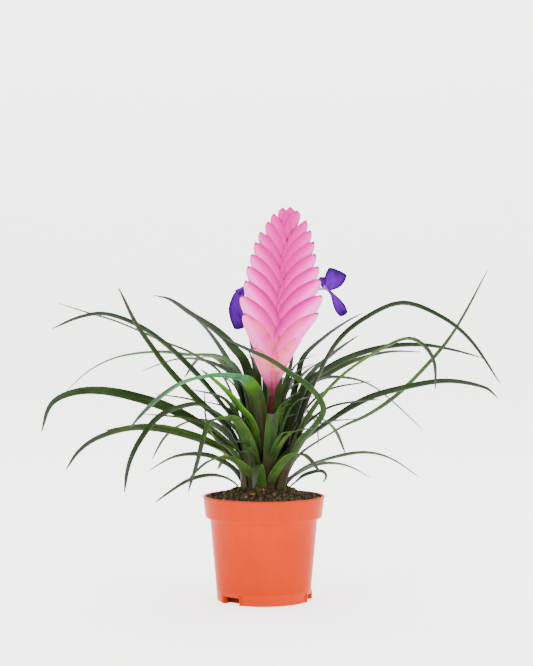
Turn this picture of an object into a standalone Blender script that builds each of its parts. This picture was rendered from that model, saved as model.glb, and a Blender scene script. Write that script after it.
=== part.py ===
# Pink quill plant in its nursery pot.
# All sizes are real sizes in millimetres, times MM to give metres. Z is up, the pot stands on z = 0.
# The flat pink quill faces -Y and its right hand side is +X.

import math

import bmesh
import bpy
import numpy as np
from mathutils import Matrix

MM = 0.001

# Pot
POT_HEIGHT = 77.0
RIM_RADIUS = 45.0
BAND_FOOT_RADIUS = 42.9
BAND_HEIGHT = 16.0
SHOULDER_RADIUS = 39.7
FOOT_RADIUS = 34.5
WALL = 1.2
FLOOR = 1.5
POT_SIDES = 60
NOTCH_WIDTH = 16.0
NOTCH_HEIGHT = 5.6
NOTCH_INNER_RADIUS = 27.0
NOTCH_ANGLES = (-13.0, 107.0, 227.0)
DRAIN_WIDTH = 8.0
DRAIN_LENGTH = 3.0

# Soil and rootstock
SOIL_GAP = 0.25
SOIL_EDGE_HEIGHT = 74.0
SOIL_MOUND = 5.0
ROOT_RADIUS = 19.2
ROOT_FOOT_HEIGHT = 60.0
ROOT_EDGE_HEIGHT = 78.6
ROOT_TOP_HEIGHT = 84.0
SEAT_GAP = 0.3

# Quill
QUILL_FOOT = (7.3, 0.0, 162.0)
QUILL_LEAN = 4.75
QUILL_LENGTH = 124.0
LEFT_TIPS = ((23, 16), (48, 26), (61, 29), (72, 27), (83, 26), (92, 24), (101, 22), (109, 19), (117, 14),
             (123, 10), (128, 4))
RIGHT_TIPS = ((12, 8), (35, 18), (53, 29), (66, 30), (78, 28), (87, 26), (96, 23), (105, 21), (113, 18),
              (120, 14), (127, 7), (129, 2))
BRACT_RUN = 34.0
BRACT_KEEL_RUN = 50.0
BRACT_HALF_THICKNESS = 3.4
SCAPE_RADIUS = 2.3

# Leaves
LEAF_THICKNESS = 0.8
LEAF_RINGS = 11

# A leaf: name, bearing at its foot, bearing at its tip, width, roll of the blade, foot radius,
# then the line of its middle as (reach from the axis, height above the floor).
LEAVES = (
    ("leaf_right_01", -14, -12, 9, 30, 8, ((23, 118), (32, 142), (41, 164), (56, 190), (76, 207), (103, 218),
                                            (131, 208), (152, 191), (173, 161))),
    ("leaf_right_02", 10, 16, 9, -30, 16, ((27, 106), (58, 125), (82, 135), (106, 150), (130, 172),
                                           (148, 192), (163, 215), (180, 246))),
    ("leaf_right_03", -6, -4, 10, 35, 13, ((21, 109), (49, 131), (75, 147), (100, 155), (133, 161),
                                           (161, 157), (172, 149))),
    ("leaf_right_04", -34, -18, 12, 25, 16, ((30, 122), (45, 147), (62, 166), (85, 182), (106, 192),
                                             (118, 189), (127, 177), (129, 157))),
    ("leaf_right_05", 18, 22, 9, 30, 11, ((32, 153), (49, 168), (73, 179), (103, 186), (133, 187),
                                          (160, 183), (186, 177))),
    ("leaf_right_06", 30, 30, 7, 20, 14, ((38, 153), (56, 165), (83, 176), (113, 182), (143, 182))),
    ("leaf_right_07", 40, 38, 6, 20, 17, ((35, 146), (53, 161), (81, 162), (106, 156), (130, 142), (162, 119))),
    ("leaf_right_08", 52, 50, 6, 10, 8, ((39, 157), (48, 178), (75, 194), (100, 205), (123, 213))),
    ("leaf_right_09", 58, 54, 6, 10, 9, ((50, 152), (66, 167), (99, 183), (130, 195))),
    ("leaf_right_10", 24, 28, 7, 20, 18, ((31, 94), (48, 100), (83, 105), (110, 100), (138, 84))),
    ("leaf_right_11", 45, 45, 6, 20, 18, ((35, 90), (52, 95), (72, 96), (95, 92), (120, 82))),
    ("leaf_right_12", -10, -10, 7, 20, 18, ((24, 87), (31, 92), (42, 95), (46, 92), (44, 87))),
    ("leaf_right_13", 64, 68, 5, 10, 6, ((40, 150), (76, 162), (96, 168), (124, 174))),
    ("leaf_right_14", 80, 58, 5, 10, 12, ((34, 136), (48, 142), (58, 140), (72, 131), (79, 119), (80, 108))),
    ("leaf_right_15", 76, 80, 5, 10, 7, ((40, 150), (70, 168), (110, 184), (140, 192))),
    ("leaf_right_16", 82, 74, 6, 10, 17, ((40, 132), (62, 158), (78, 174), (84, 186))),
    ("leaf_left_01", 204, 163, 8, -30, 9, ((27, 158), (51, 180), (81, 192), (115, 205), (140, 212), (166, 220))),
    ("leaf_left_02", -168, -172, 11, -30, 12, ((18, 124), (33, 145), (48, 163), (70, 185), (92, 201), (116, 210),
                                               (135, 208), (155, 200))),
    ("leaf_left_03", -182, -156, 10, -25, 13, ((21, 118), (34, 133), (52, 148), (75, 170), (91, 190), (102, 206),
                                               (113, 229))),
    ("leaf_left_04", 166, 152, 7, -25, 7, ((16, 158), (33, 178), (64, 180), (91, 182), (128, 178), (156, 167),
                                            (177, 151))),
    ("leaf_left_05", 156, 142, 7, -20, 11, ((17, 150), (30, 167), (58, 176), (88, 176), (122, 167))),
    ("leaf_left_06", -190, -176, 11, -35, 14, ((18, 101), (40, 123), (69, 140), (99, 150), (123, 154), (142, 152),
                                               (156, 144), (163, 125))),
    ("leaf_left_07", -156, -166, 11, -35, 17, ((19, 96), (33, 110), (56, 120), (78, 126), (100, 127), (122, 121),
                                               (136, 112), (146, 99))),
    ("leaf_left_08", 160, 174, 8, -30, 17, ((19, 98), (37, 113), (63, 123), (89, 127), (119, 124))),
    ("leaf_left_09", -142, -150, 10, -25, 14, ((21, 119), (36, 135), (52, 144), (65, 144), (85, 137), (100, 121),
                                               (109, 104), (113, 85))),
    ("leaf_left_10", -98, -128, 13, -15, 6, ((12, 118), (19, 146), (31, 160), (43, 164), (68, 166), (93, 162),
                                              (119, 150), (144, 134))),
    ("leaf_left_11", -112, -135, 11, -15, 16, ((20, 107), (26, 122), (35, 134), (45, 135), (54, 133), (60, 121),
                                               (66, 104), (75, 85))),
    ("leaf_left_12", 178, 178, 7, -20, 18, ((22, 86), (30, 90), (42, 91), (58, 86), (81, 71))),
    ("leaf_left_13", 133, 133, 9, -20, 8, ((17, 164), (35, 186), (55, 199), (85, 212), (109, 223), (129, 227))),
    ("leaf_left_14", 138, 122, 7, -10, 15, ((26, 158), (46, 176), (69, 191), (91, 203), (118, 214))),
    ("leaf_left_15", 98, 97, 6, -10, 11, ((34, 164), (68, 186), (99, 202), (135, 220))),
    ("leaf_left_16", -118, -140, 11, -20, 8, ((15, 127), (26, 142), (39, 156), (59, 171))),
    ("leaf_left_17", -148, -172, 6, -20, 16, ((22, 108), (36, 118), (43, 133), (44, 144), (44, 155))),
    ("leaf_front_01", -60, -62, 11, 10, 12, ((16, 112), (22, 130), (30, 143), (42, 150))),
    ("leaf_front_02", -80, -84, 10, 0, 14, ((20, 106), (30, 126), (46, 138), (64, 138), (84, 126))),
    ("leaf_front_03", -72, -60, 9, 10, 16, ((24, 96), (40, 108), (58, 110), (78, 100))),
    ("leaf_front_04", -108, -130, 9, -10, 17, ((26, 96), (42, 106), (60, 106), (82, 94))),
    ("leaf_front_05", -95, -95, 8, 0, 18, ((25, 94), (40, 102), (58, 102), (80, 90))),
    ("leaf_back_01", 48, 92, 9, 0, 5, ((22, 140), (46, 170), (80, 190), (116, 194), (148, 184))),
    ("leaf_back_02", 114, 116, 9, -10, 10, ((22, 132), (48, 160), (82, 176), (118, 176), (150, 160))),
    ("leaf_back_03", 104, 80, 9, 10, 13, ((24, 122), (50, 144), (84, 158), (120, 156), (150, 138))),
    ("leaf_back_04", 100, 102, 10, 0, 14, ((24, 114), (52, 134), (86, 144), (122, 136), (150, 114))),
    ("leaf_back_05", 64, 62, 9, 15, 16, ((26, 108), (52, 124), (86, 130), (118, 120), (142, 98))),
    ("leaf_back_06", 130, 132, 9, -15, 16, ((26, 108), (52, 124), (84, 128), (114, 116), (134, 96))),
    ("leaf_back_07", 82, 86, 9, 0, 18, ((28, 98), (50, 108), (78, 108), (104, 96), (122, 78))),
    ("leaf_back_08", 112, 112, 9, 0, 18, ((28, 96), (48, 104), (74, 102), (98, 88))),
    ("leaf_back_09", 150, 150, 8, -20, 18, ((28, 96), (50, 104), (78, 102), (104, 90))),
)

# The one leaf that turns back across the front of the quill: (right, back, up)
CROSSING_LEAF = ("leaf_front_06", 8, ((12, -12, 79), (17, -17, 98), (28, -23, 118), (38, -26, 130),
                                      (44, -27, 140), (41, -28, 150), (32, -29, 160), (18, -30, 170),
                                      (4, -30, 179), (-14, -30, 187), (-31, -30, 195)))


def clear_scene():
    """Empty the file of every object it starts with."""
    for thing in list(bpy.data.objects):
        bpy.data.objects.remove(thing)


def catmull_rom(points, count):
    """Return count points spread evenly along a smooth curve through the given points."""
    points = np.asarray(points, dtype=float)
    ends = np.vstack([2 * points[0] - points[1], points, 2 * points[-1] - points[-2]])
    dense = []
    for i in range(len(points) - 1):
        a, b, c, d = ends[i], ends[i + 1], ends[i + 2], ends[i + 3]
        for t in np.linspace(0, 1, 24, endpoint=False):
            dense.append(0.5 * (2 * b + (c - a) * t + (2 * a - 5 * b + 4 * c - d) * t ** 2
                                + (3 * b - a - 3 * c + d) * t ** 3))
    dense.append(points[-1])
    dense = np.array(dense)
    run = np.concatenate([[0], np.cumsum(np.linalg.norm(np.diff(dense, axis=0), axis=1))])
    at = np.linspace(0, run[-1], count)
    return np.stack([np.interp(at, run, dense[:, k]) for k in range(dense.shape[1])], axis=1)


def unit(v):
    """Scale vectors to length one."""
    return v / np.maximum(np.linalg.norm(v, axis=-1, keepdims=True), 1e-9)


def loft(rings):
    """Join closed rings of equal count into one solid of triangles, a fan on either end."""
    rings = np.asarray(rings, dtype=float)
    n, m = rings.shape[:2]
    verts = [tuple(p) for ring in rings for p in ring]
    faces = []
    for i in range(n - 1):
        for j in range(m):
            k = (j + 1) % m
            a, b, c, d = i * m + j, i * m + k, (i + 1) * m + k, (i + 1) * m + j
            faces.append((a, b, c))
            faces.append((a, c, d))
    for j in range(1, m - 1):
        faces.append((0, j + 1, j))
        faces.append(((n - 1) * m, (n - 1) * m + j, (n - 1) * m + j + 1))
    return verts, faces


def root_height(radius):
    """Height of the domed top of the rootstock at a distance from its axis."""
    return ROOT_TOP_HEIGHT - (ROOT_TOP_HEIGHT - ROOT_EDGE_HEIGHT) * (radius / ROOT_RADIUS) ** 2


def leaf_line(row):
    """Middle line of a leaf in space, from its foot on the rootstock to its tip."""
    name, foot_bearing, tip_bearing, width, roll, foot, points = row
    low = root_height(foot) + SEAT_GAP + 0.1
    first = points[0]
    lift = min(6.0, 0.35 * (first[1] - low))
    whole = [(foot, low), (foot + 0.3, low + lift)] + list(points)
    flat = catmull_rom(whole, 60)
    share = np.clip((flat[:, 0] - foot) / (max(p[0] for p in points) - foot), 0, 1)
    bearing = np.radians(tip_bearing + (foot_bearing - tip_bearing) * (1 - share) ** 3)
    line = np.stack([flat[:, 0] * np.cos(bearing), flat[:, 0] * np.sin(bearing), flat[:, 1]], axis=1)
    return line


def leaf_rings(line, width, roll, foot, count):
    """Channelled cross sections along a leaf: broad at the foot, slowly narrowing to a thread."""
    line = catmull_rom(line[::4] if (len(line) - 1) % 4 == 0 else np.vstack([line[::4], line[-1:]]), count)
    tangent = unit(np.gradient(line, axis=0))
    t = np.linspace(0, 1, count)
    side = np.zeros((count, 3))
    side[0] = (-line[0, 1], line[0, 0], 0)
    for i in range(count):
        before = side[max(i - 1, 0)]
        side[i] = unit(before - tangent[i] * (before @ tangent[i]))
    face = unit(np.cross(tangent, side))
    turn = np.radians(roll) * np.clip(t * 2.2, 0, 1) ** 1.5
    side, face = (side * np.cos(turn)[:, None] + face * np.sin(turn)[:, None],
                  face * np.cos(turn)[:, None] - side * np.sin(turn)[:, None])
    half = 0.5 * width * np.interp(t, [0, 0.15, 0.45, 0.75, 0.93, 1], [1, 0.92, 0.8, 0.55, 0.22, 0.09])
    sag = half ** 2 / (2 * foot)
    depth = sag * (1 - t) ** 2 + 0.42 * half * (1 - (1 - t) ** 2)
    thick = LEAF_THICKNESS * np.interp(t, [0, 0.8, 1], [1, 0.9, 0.75])
    rings = []
    for i in range(count):
        ring = []
        for u, lift in ((-1, 0), (-0.5, 0.5), (0, 0.5), (0.5, 0.5), (1, 0), (0.5, -0.5), (0, -0.5), (-0.5, -0.5)):
            ring.append(line[i] + side[i] * u * half[i] + face[i] * (depth[i] * u * u + lift * thick[i]))
        rings.append(ring)
    return rings


def leaf_solid(row):
    """One leaf as a closed solid."""
    name, foot_bearing, tip_bearing, width, roll, foot, points = row
    return loft(leaf_rings(leaf_line(row), width, roll, foot, LEAF_RINGS))


def crossing_leaf_solid():
    """The leaf that turns back across the front of the quill."""
    name, width, points = CROSSING_LEAF
    foot = math.hypot(points[0][0], points[0][1])
    start = (points[0][0], points[0][1], root_height(foot) + SEAT_GAP + 0.1)
    line = catmull_rom([start] + list(points[1:]), 60)
    return loft(leaf_rings(line, width, 0, foot, LEAF_RINGS + 3))


def quill_frame():
    """Foot, axis and right hand direction of the quill."""
    lean = math.radians(QUILL_LEAN)
    return (np.array(QUILL_FOOT), np.array([math.sin(lean), 0, math.cos(lean)]),
            np.array([math.cos(lean), 0, -math.sin(lean)]))


def bezier(a, b, c, t):
    """Points of a curve that leaves a towards b and arrives at c."""
    t = np.asarray(t)[:, None]
    return (1 - t) ** 2 * np.array(a, float) + 2 * t * (1 - t) * np.array(b, float) + t ** 2 * np.array(c, float)


def bract_solid(tip, hand, place=0):
    """One folded bract: thin along its outer fold, open and thick along its upper edge."""
    up, out = tip
    scale = min(1.0, 0.35 + out / 30.0) * (1 + 0.03 * math.sin(3.3 * place))
    t = np.linspace(0, 1, 7)
    run = min(BRACT_RUN, up + 6)
    keel_run = min(BRACT_KEEL_RUN, up + 14)
    inner = -1.5 - 0.4 * math.sin(1.3 * place)
    upper = bezier((up - run, inner), (up - run * 0.25, out - 0.6 * min(out + 4, 18)), (up, out), t)
    keel = bezier((up - keel_run, inner + 0.2), (up - keel_run * 0.36, out * 1.04 + 1.0), (up, out), t)
    keel[-1] = upper[-1] + (-1.6, -0.3)
    foot, axis, right = quill_frame()
    depth = np.array([0, -1.0, 0])
    shift = np.array([0, 0.28 * math.sin(2.1 * place + hand), 0])
    rings = []
    for i in range(len(t)):
        thick = BRACT_HALF_THICKNESS * scale * (1 - t[i]) ** 0.7 + 0.45
        a, b = upper[i], keel[i]
        mid = (a + b) / 2
        ring = []
        for point, lift in ((b, 0), (mid, 0.8 * thick), (a, thick), (a, -thick), (mid, -0.8 * thick)):
            ring.append(foot + shift + axis * point[0] + right * hand * point[1] + depth * lift * hand)
        rings.append(ring)
    return loft(rings)


def tube(line, radii, sides):
    """A round solid along a line."""
    line = np.asarray(line, float)
    tangent = unit(np.gradient(line, axis=0))
    a = unit(np.cross(tangent, np.array([0.13, 1.0, 0.07])))
    b = np.cross(tangent, a)
    rings = []
    for i in range(len(line)):
        ring = []
        for k in range(sides):
            w = 2 * math.pi * k / sides
            ring.append(line[i] + (a[i] * math.cos(w) + b[i] * math.sin(w)) * radii[i])
        rings.append(ring)
    return loft(rings)


def petal(points, widths, face, cup):
    """A petal: a thin blade along a curve, its broad face towards the given direction."""
    count = 7
    line = catmull_rom(points, count)
    tangent = unit(np.gradient(line, axis=0))
    side = unit(np.cross(tangent, np.array(face, float)))
    normal = unit(np.cross(side, tangent))
    half = 0.5 * np.interp(np.linspace(0, 1, count), np.linspace(0, 1, len(widths)), widths)
    rings = []
    for i in range(count):
        ring = []
        for u, lift in ((-1, 0), (-0.5, 0.42), (0, 0.5), (0.5, 0.42), (1, 0), (0.5, -0.42), (0, -0.5), (-0.5, -0.42)):
            ring.append(line[i] + side[i] * u * half[i] + normal[i] * (cup * half[i] * u * u + lift * 0.9))
        rings.append(ring)
    return loft(rings)


def turned(name, profile, sides, home):
    """A solid turned about the axis: the outline (radius, height) carried round by a Screw modifier."""
    mesh = bpy.data.meshes.new(name)
    mesh.from_pydata([(r * MM, 0, z * MM) for r, z in profile], [(i, i + 1) for i in range(len(profile) - 1)], [])
    thing = bpy.data.objects.new(name, mesh)
    home.objects.link(thing)
    screw = thing.modifiers.new("turn", "SCREW")
    screw.steps = sides
    screw.render_steps = sides
    screw.use_merge_vertices = True
    screw.merge_threshold = 1e-5
    screw.use_smooth_shade = False
    return settle(thing)


def block(angle, near, far, width, low, high, home):
    """A box that points away from the axis at a bearing."""
    shape = bmesh.new()
    bmesh.ops.create_cube(shape, size=1)
    size = Matrix.Diagonal(((far - near) * MM, width * MM, (high - low) * MM, 1))
    place = Matrix.Translation(((near + far) / 2 * MM, 0, (low + high) / 2 * MM))
    shape.transform(Matrix.Rotation(math.radians(angle), 4, "Z") @ place @ size)
    mesh = bpy.data.meshes.new("block")
    shape.to_mesh(mesh)
    shape.free()
    thing = bpy.data.objects.new("block", mesh)
    home.objects.link(thing)
    return thing


def settle(thing):
    """Apply an object's modifiers and turn its faces outward."""
    bpy.context.view_layer.update()
    graph = bpy.context.evaluated_depsgraph_get()
    result = bpy.data.meshes.new_from_object(thing.evaluated_get(graph))
    thing.modifiers.clear()
    thing.data = result
    shape = bmesh.new()
    shape.from_mesh(result)
    if shape.calc_volume(signed=True) < 0:
        bmesh.ops.reverse_faces(shape, faces=shape.faces)
    shape.to_mesh(result)
    shape.free()
    return thing


def make(name, solid, home):
    """Turn a lofted solid into an object in a collection."""
    verts, faces = solid
    mesh = bpy.data.meshes.new(name)
    mesh.from_pydata([(x * MM, y * MM, z * MM) for x, y, z in verts], [], faces)
    thing = bpy.data.objects.new(name, mesh)
    home.objects.link(thing)
    return settle(thing)


def tool_group(name):
    """A collection for the solids that a body is joined with or cut by."""
    group = bpy.data.collections.new(name)
    bpy.context.scene.collection.children.link(group)
    return group


def combine(base, group, operation, solver="EXACT"):
    """Join or cut a body with a collection, keep the result in the body and remove the collection's objects."""
    change = base.modifiers.new("combine", "BOOLEAN")
    change.operation = operation
    change.operand_type = "COLLECTION"
    change.solver = solver
    change.collection = group
    settle(base)
    for thing in list(group.objects):
        bpy.data.objects.remove(thing)
    bpy.data.collections.remove(group)
    return base


def paint(thing, name, colour, roughness):
    """Give an object a material of its own."""
    stuff = bpy.data.materials.new(name)
    stuff.use_nodes = True
    shader = stuff.node_tree.nodes["Principled BSDF"]
    shader.inputs["Base Color"].default_value = (*colour, 1)
    shader.inputs["Roughness"].default_value = roughness
    thing.data.materials.clear()
    thing.data.materials.append(stuff)


def pot_profile():
    """Outside and inside of the pot wall, from the middle of the floor round to the middle again."""
    top = POT_HEIGHT
    band = POT_HEIGHT - BAND_HEIGHT
    outer = [(FOOT_RADIUS - 0.8, 0), (FOOT_RADIUS, 0.8), (FOOT_RADIUS + 0.6, 8), (SHOULDER_RADIUS, band - 1.0),
             (SHOULDER_RADIUS + 0.4, band), (BAND_FOOT_RADIUS, band), (BAND_FOOT_RADIUS + 0.3, band + 0.8),
             (RIM_RADIUS - 0.5, top - 2.2), (RIM_RADIUS, top - 1.6), (RIM_RADIUS, top - 0.4),
             (RIM_RADIUS - 0.4, top)]
    inner = [(RIM_RADIUS - 1.6, top), (RIM_RADIUS - 1.8, top - 1.0),
             (BAND_FOOT_RADIUS - WALL, band + 2.0), (SHOULDER_RADIUS - WALL, band + 0.6),
             (FOOT_RADIUS - WALL + 0.1, FLOOR)]
    return outer, inner


def build_pot(home):
    """The nursery pot with three notches and raised pockets at its foot."""
    outer, inner = pot_profile()
    pot = turned("nursery_pot", [(0, 0)] + outer + [(0, POT_HEIGHT)], POT_SIDES, home)
    inside = tool_group("pot_inside")
    hollow = [(0, FLOOR)] + inner[::-1] + [(inner[0][0], POT_HEIGHT + 5), (0, POT_HEIGHT + 5)]
    room = turned("pot_room", hollow, POT_SIDES, inside)
    pockets = tool_group("pot_pockets")
    for angle in NOTCH_ANGLES:
        block(angle, NOTCH_INNER_RADIUS - 1.4, 60, NOTCH_WIDTH + 2.8, -5, NOTCH_HEIGHT + 1.4, pockets)
    combine(room, pockets, "DIFFERENCE")
    combine(pot, inside, "DIFFERENCE")
    cuts = tool_group("pot_cuts")
    for angle in NOTCH_ANGLES:
        block(angle, NOTCH_INNER_RADIUS, 60, NOTCH_WIDTH, -5, NOTCH_HEIGHT, cuts)
        block(angle, NOTCH_INNER_RADIUS + 1.0, NOTCH_INNER_RADIUS + 1.0 + DRAIN_LENGTH, DRAIN_WIDTH, 2,
              NOTCH_HEIGHT + 4, cuts)
    combine(pot, cuts, "DIFFERENCE")
    paint(pot, "orange_plastic", (0.95, 0.2, 0.05), 0.35)


def build_soil(home):
    """Peat that fills the pot up to its band, a little higher round the rootstock."""
    gap = SOIL_GAP
    band = POT_HEIGHT - BAND_HEIGHT
    wall = [(FOOT_RADIUS - WALL + 0.1 - gap, FLOOR + gap), (SHOULDER_RADIUS - WALL - gap, band + 0.6),
            (BAND_FOOT_RADIUS - WALL - gap, band + 2.0 + gap), (RIM_RADIUS - 2.3, SOIL_EDGE_HEIGHT)]
    mound = [(38.0, SOIL_EDGE_HEIGHT + 1.0), (33.0, SOIL_EDGE_HEIGHT + 1.6), (27.0, SOIL_EDGE_HEIGHT + 3.0),
             (ROOT_RADIUS + gap, SOIL_EDGE_HEIGHT + SOIL_MOUND - 0.6)]
    hole = [(ROOT_RADIUS + gap, ROOT_FOOT_HEIGHT - gap), (0, ROOT_FOOT_HEIGHT - gap)]
    soil = turned("potting_soil", [(0, FLOOR + gap)] + wall + mound + hole, 48, home)
    pockets = tool_group("soil_pockets")
    for angle in NOTCH_ANGLES:
        block(angle, NOTCH_INNER_RADIUS - 1.4 - gap, 60, NOTCH_WIDTH + 2.8 + 2 * gap, -5,
              NOTCH_HEIGHT + 1.4 + gap, pockets)
    combine(soil, pockets, "DIFFERENCE")
    for vert in soil.data.vertices:
        radius = math.hypot(vert.co.x, vert.co.y) / MM
        if vert.co.z > 74.5 * MM and 22 < radius < 40:
            w = math.atan2(vert.co.y, vert.co.x)
            vert.co.z += 0.5 * MM * math.sin(5 * w + radius) + 0.35 * MM * math.sin(11 * w - 2 * radius)
    paint(soil, "peat", (0.04, 0.022, 0.012), 0.95)


def build_rootstock(home):
    """Short stem base that stands in a plain hole in the soil."""
    profile = [(0, ROOT_FOOT_HEIGHT), (ROOT_RADIUS - 0.6, ROOT_FOOT_HEIGHT), (ROOT_RADIUS, ROOT_FOOT_HEIGHT + 0.6)]
    for radius in (ROOT_RADIUS, 15.0, 10.0, 5.0):
        profile.append((radius, root_height(radius)))
    profile.append((0, root_height(0)))
    stock = turned("rootstock", profile, 36, home)
    paint(stock, "rootstock_bark", (0.1, 0.06, 0.03), 0.8)


def build_scape(home):
    """Round flower stem from the rootstock up to the foot of the quill."""
    foot, axis, right = quill_frame()
    top = foot + axis * -15.4
    points = [(0, 0, root_height(0) + SEAT_GAP), (0.6, 0, 98), (2.8, 0, 122), tuple(top)]
    stem = make("scape", tube(catmull_rom(points, 9), [SCAPE_RADIUS] * 9, 12), home)
    paint(stem, "scape_red", (0.3, 0.06, 0.06), 0.5)


def build_quill(home):
    """All bracts of both ranks with the axis that carries them, fused in one piece."""
    foot, axis, right = quill_frame()
    at = np.linspace(-15.0, QUILL_LENGTH - 16, 10)
    line = [foot + axis * s for s in at]
    core = tube(line, list(np.interp(at, [-15, 15, 60, QUILL_LENGTH - 16], [2.3, 2.8, 2.4, 1.0])), 8)
    quill = make("quill", core, home)
    bracts = tool_group("bracts")
    for hand, tips in ((-1, LEFT_TIPS), (1, RIGHT_TIPS)):
        for i, tip in enumerate(tips):
            make("bract", bract_solid(tip, hand, 2 * i + (hand > 0)), bracts)
    combine(quill, bracts, "UNION", "MANIFOLD")
    paint(quill, "bract_pink", (1.0, 0.16, 0.45), 0.45)


def build_flower(name, throat, petals, home):
    """One open flower: violet petals fused on a short pale tube."""
    flower = make(name, tube(throat, [1.0, 1.2, 1.2], 8), home)
    group = tool_group(name + "_petals")
    for points, widths, face, cup in petals:
        make("petal", petal(points, widths, face, cup), group)
    combine(flower, group, "UNION")
    paint(flower, name + "_violet", (0.2, 0.02, 0.75), 0.5)


def build_flowers(home):
    """Two open flowers of three petals each, one at either side of the quill."""
    build_flower("flower_right", [(40.95, -0.2, 229.6), (44.5, -0.2, 229.8), (48, -0.3, 230.2)], [
        ([(44.5, -0.4, 229.8), (49, -1.2, 234), (53.5, -2.0, 238.5), (57.5, -3.0, 242)],
         (3, 9, 13.5, 12, 5), (0.1, -1, 0.1), 0.14),
        ([(46.5, -0.4, 230), (50.5, -1.4, 225.5), (54.8, -2.6, 218), (59.4, -3.6, 210.5)],
         (2.2, 3, 6.5, 8.5, 4), (0.1, -1, 0.15), 0.12),
        ([(44.5, 0.2, 229.8), (44.8, 3.5, 233), (44.4, 8, 235.5), (44.4, 12.5, 236)],
         (2.2, 5, 8, 9, 4), (0.9, -0.3, 0.4), 0.15)], home)
    build_flower("flower_left", [(-14.6, 0.5, 229.2), (-17.2, 3.0, 228.2), (-18.6, 5.2, 226.2)], [
        ([(-18.0, 4.8, 227), (-18.9, 6.4, 221), (-18.6, 7.2, 213), (-16.4, 7.8, 203.5)],
         (3, 8.5, 13, 12.5, 6), (-0.2, -1, 0.1), 0.16),
        ([(-18.3, 5.0, 226.6), (-15.5, 10.5, 221), (-12.5, 14, 213), (-12, 16, 206)],
         (2.2, 5, 8.5, 9, 4), (0.1, -1, 0.2), 0.14),
        ([(-18.3, 5.0, 226.6), (-18.5, 9, 229), (-18, 14, 230.5), (-17, 18.5, 229)],
         (2.2, 5, 8, 9, 4), (-0.5, -0.2, 1), 0.15)], home)


def build_leaves(home):
    """Every leaf as a piece of its own."""
    solids = [(row[0], leaf_solid(row)) for row in LEAVES]
    solids.append((CROSSING_LEAF[0], crossing_leaf_solid()))
    for name, solid in solids:
        leaf = make(name, solid, home)
        paint(leaf, name + "_green", (0.08, 0.2, 0.05), 0.5)


def main():
    """Build the whole plant."""
    clear_scene()
    home = bpy.data.collections.new("Pink quill plant")
    bpy.context.scene.collection.children.link(home)
    build_pot(home)
    build_soil(home)
    build_rootstock(home)
    build_scape(home)
    build_quill(home)
    build_flowers(home)
    build_leaves(home)


main()
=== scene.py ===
# %% [markdown]
# # A pink quill plant in its nursery pot
# The plant is a rosette of long, thin, channelled leaves. From its middle rises a flat pink spike of
# folded bracts, the quill, with violet flowers at its edges. It stands in a thin orange plastic pot of peat.
# The solids made before give every place and size. Here each one gets its real surface and finish.
# All lengths in the tables are millimetres, and MM turns them into metres.

# %% Load the solids
import math

import bpy
import numpy as np
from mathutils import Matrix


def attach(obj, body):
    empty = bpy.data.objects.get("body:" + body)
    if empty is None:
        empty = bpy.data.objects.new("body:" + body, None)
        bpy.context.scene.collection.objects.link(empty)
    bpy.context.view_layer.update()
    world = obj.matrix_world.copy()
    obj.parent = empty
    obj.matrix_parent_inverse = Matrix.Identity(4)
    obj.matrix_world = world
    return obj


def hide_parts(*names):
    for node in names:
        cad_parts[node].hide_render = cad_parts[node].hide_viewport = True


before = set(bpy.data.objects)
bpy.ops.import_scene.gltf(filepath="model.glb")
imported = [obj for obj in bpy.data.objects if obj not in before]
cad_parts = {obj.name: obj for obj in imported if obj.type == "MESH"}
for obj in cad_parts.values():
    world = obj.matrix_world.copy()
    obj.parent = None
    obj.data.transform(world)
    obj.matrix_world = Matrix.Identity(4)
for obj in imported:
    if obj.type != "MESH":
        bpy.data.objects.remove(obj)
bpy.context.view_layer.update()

MM = 0.001

# %% [markdown]
# ## The camera
# The rim of the pot is an ellipse in the photograph. Its flatness gives the height of the lens above the
# rim, and how much the foot of the pot drops at its front gives the distance. The lens looks level, a
# little above half the height of the plant, from just over a metre away.

# %% Camera
camera_data = bpy.data.cameras.new("camera")
camera_data.lens = 84.0
camera_data.sensor_width = 36.0
camera = bpy.data.objects.new("camera", camera_data)
camera.location = (0.002, -1.150, 0.197)
camera.rotation_euler = (math.radians(90), 0, 0)
bpy.context.scene.collection.objects.link(camera)
bpy.context.scene.camera = camera
print("camera at", tuple(camera.location))

# %% [markdown]
# ## Lines and grids
# A leaf, a petal and a bract are all sheets. Each is a grid of points, worked out as whole arrays: one
# parameter runs along the piece and one runs across it. A smooth line through a few measured points
# carries the sheet. Spline weights make the line pass through each of its points without a corner.

# %% Helpers for lines and grids
def unit(v):
    """Each vector divided by its own length."""
    return v / np.maximum(np.linalg.norm(v, axis=-1, keepdims=True), 1e-9)


def smooth_line(points, count):
    """A Catmull-Rom line: between two points it is a cubic whose slope at each point is half the step
    from the point before to the point after. It is then cut into equal steps of length."""
    p = np.asarray(points, float)
    ends = np.vstack([2 * p[0] - p[1], p, 2 * p[-1] - p[-2]])
    t = np.linspace(0, 1, 24, endpoint=False)[None, :, None]
    a, b, c, d = (ends[k:len(p) - 1 + k, None, :] for k in range(4))
    curve = 0.5 * (2 * b + (c - a) * t + (2 * a - 5 * b + 4 * c - d) * t ** 2
                   + (3 * b - a - 3 * c + d) * t ** 3)
    curve = np.vstack([curve.reshape(-1, p.shape[1]), p[-1:]])
    run = np.concatenate([[0], np.cumsum(np.linalg.norm(np.diff(curve, axis=0), axis=1))])
    at = np.linspace(0, run[-1], count)
    return np.stack([np.interp(at, run, curve[:, k]) for k in range(p.shape[1])], axis=1)


def carried_side(line, first):
    """A sideways direction carried along a line without twist: at each step the part of the last
    direction that points along the line is taken away."""
    tangent = unit(np.gradient(line, axis=0))
    side = np.zeros_like(line)
    side[0] = first
    for i in range(len(line)):
        before = side[max(i - 1, 0)]
        side[i] = unit(before - tangent[i] * (before @ tangent[i]))
    return tangent, side


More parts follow.
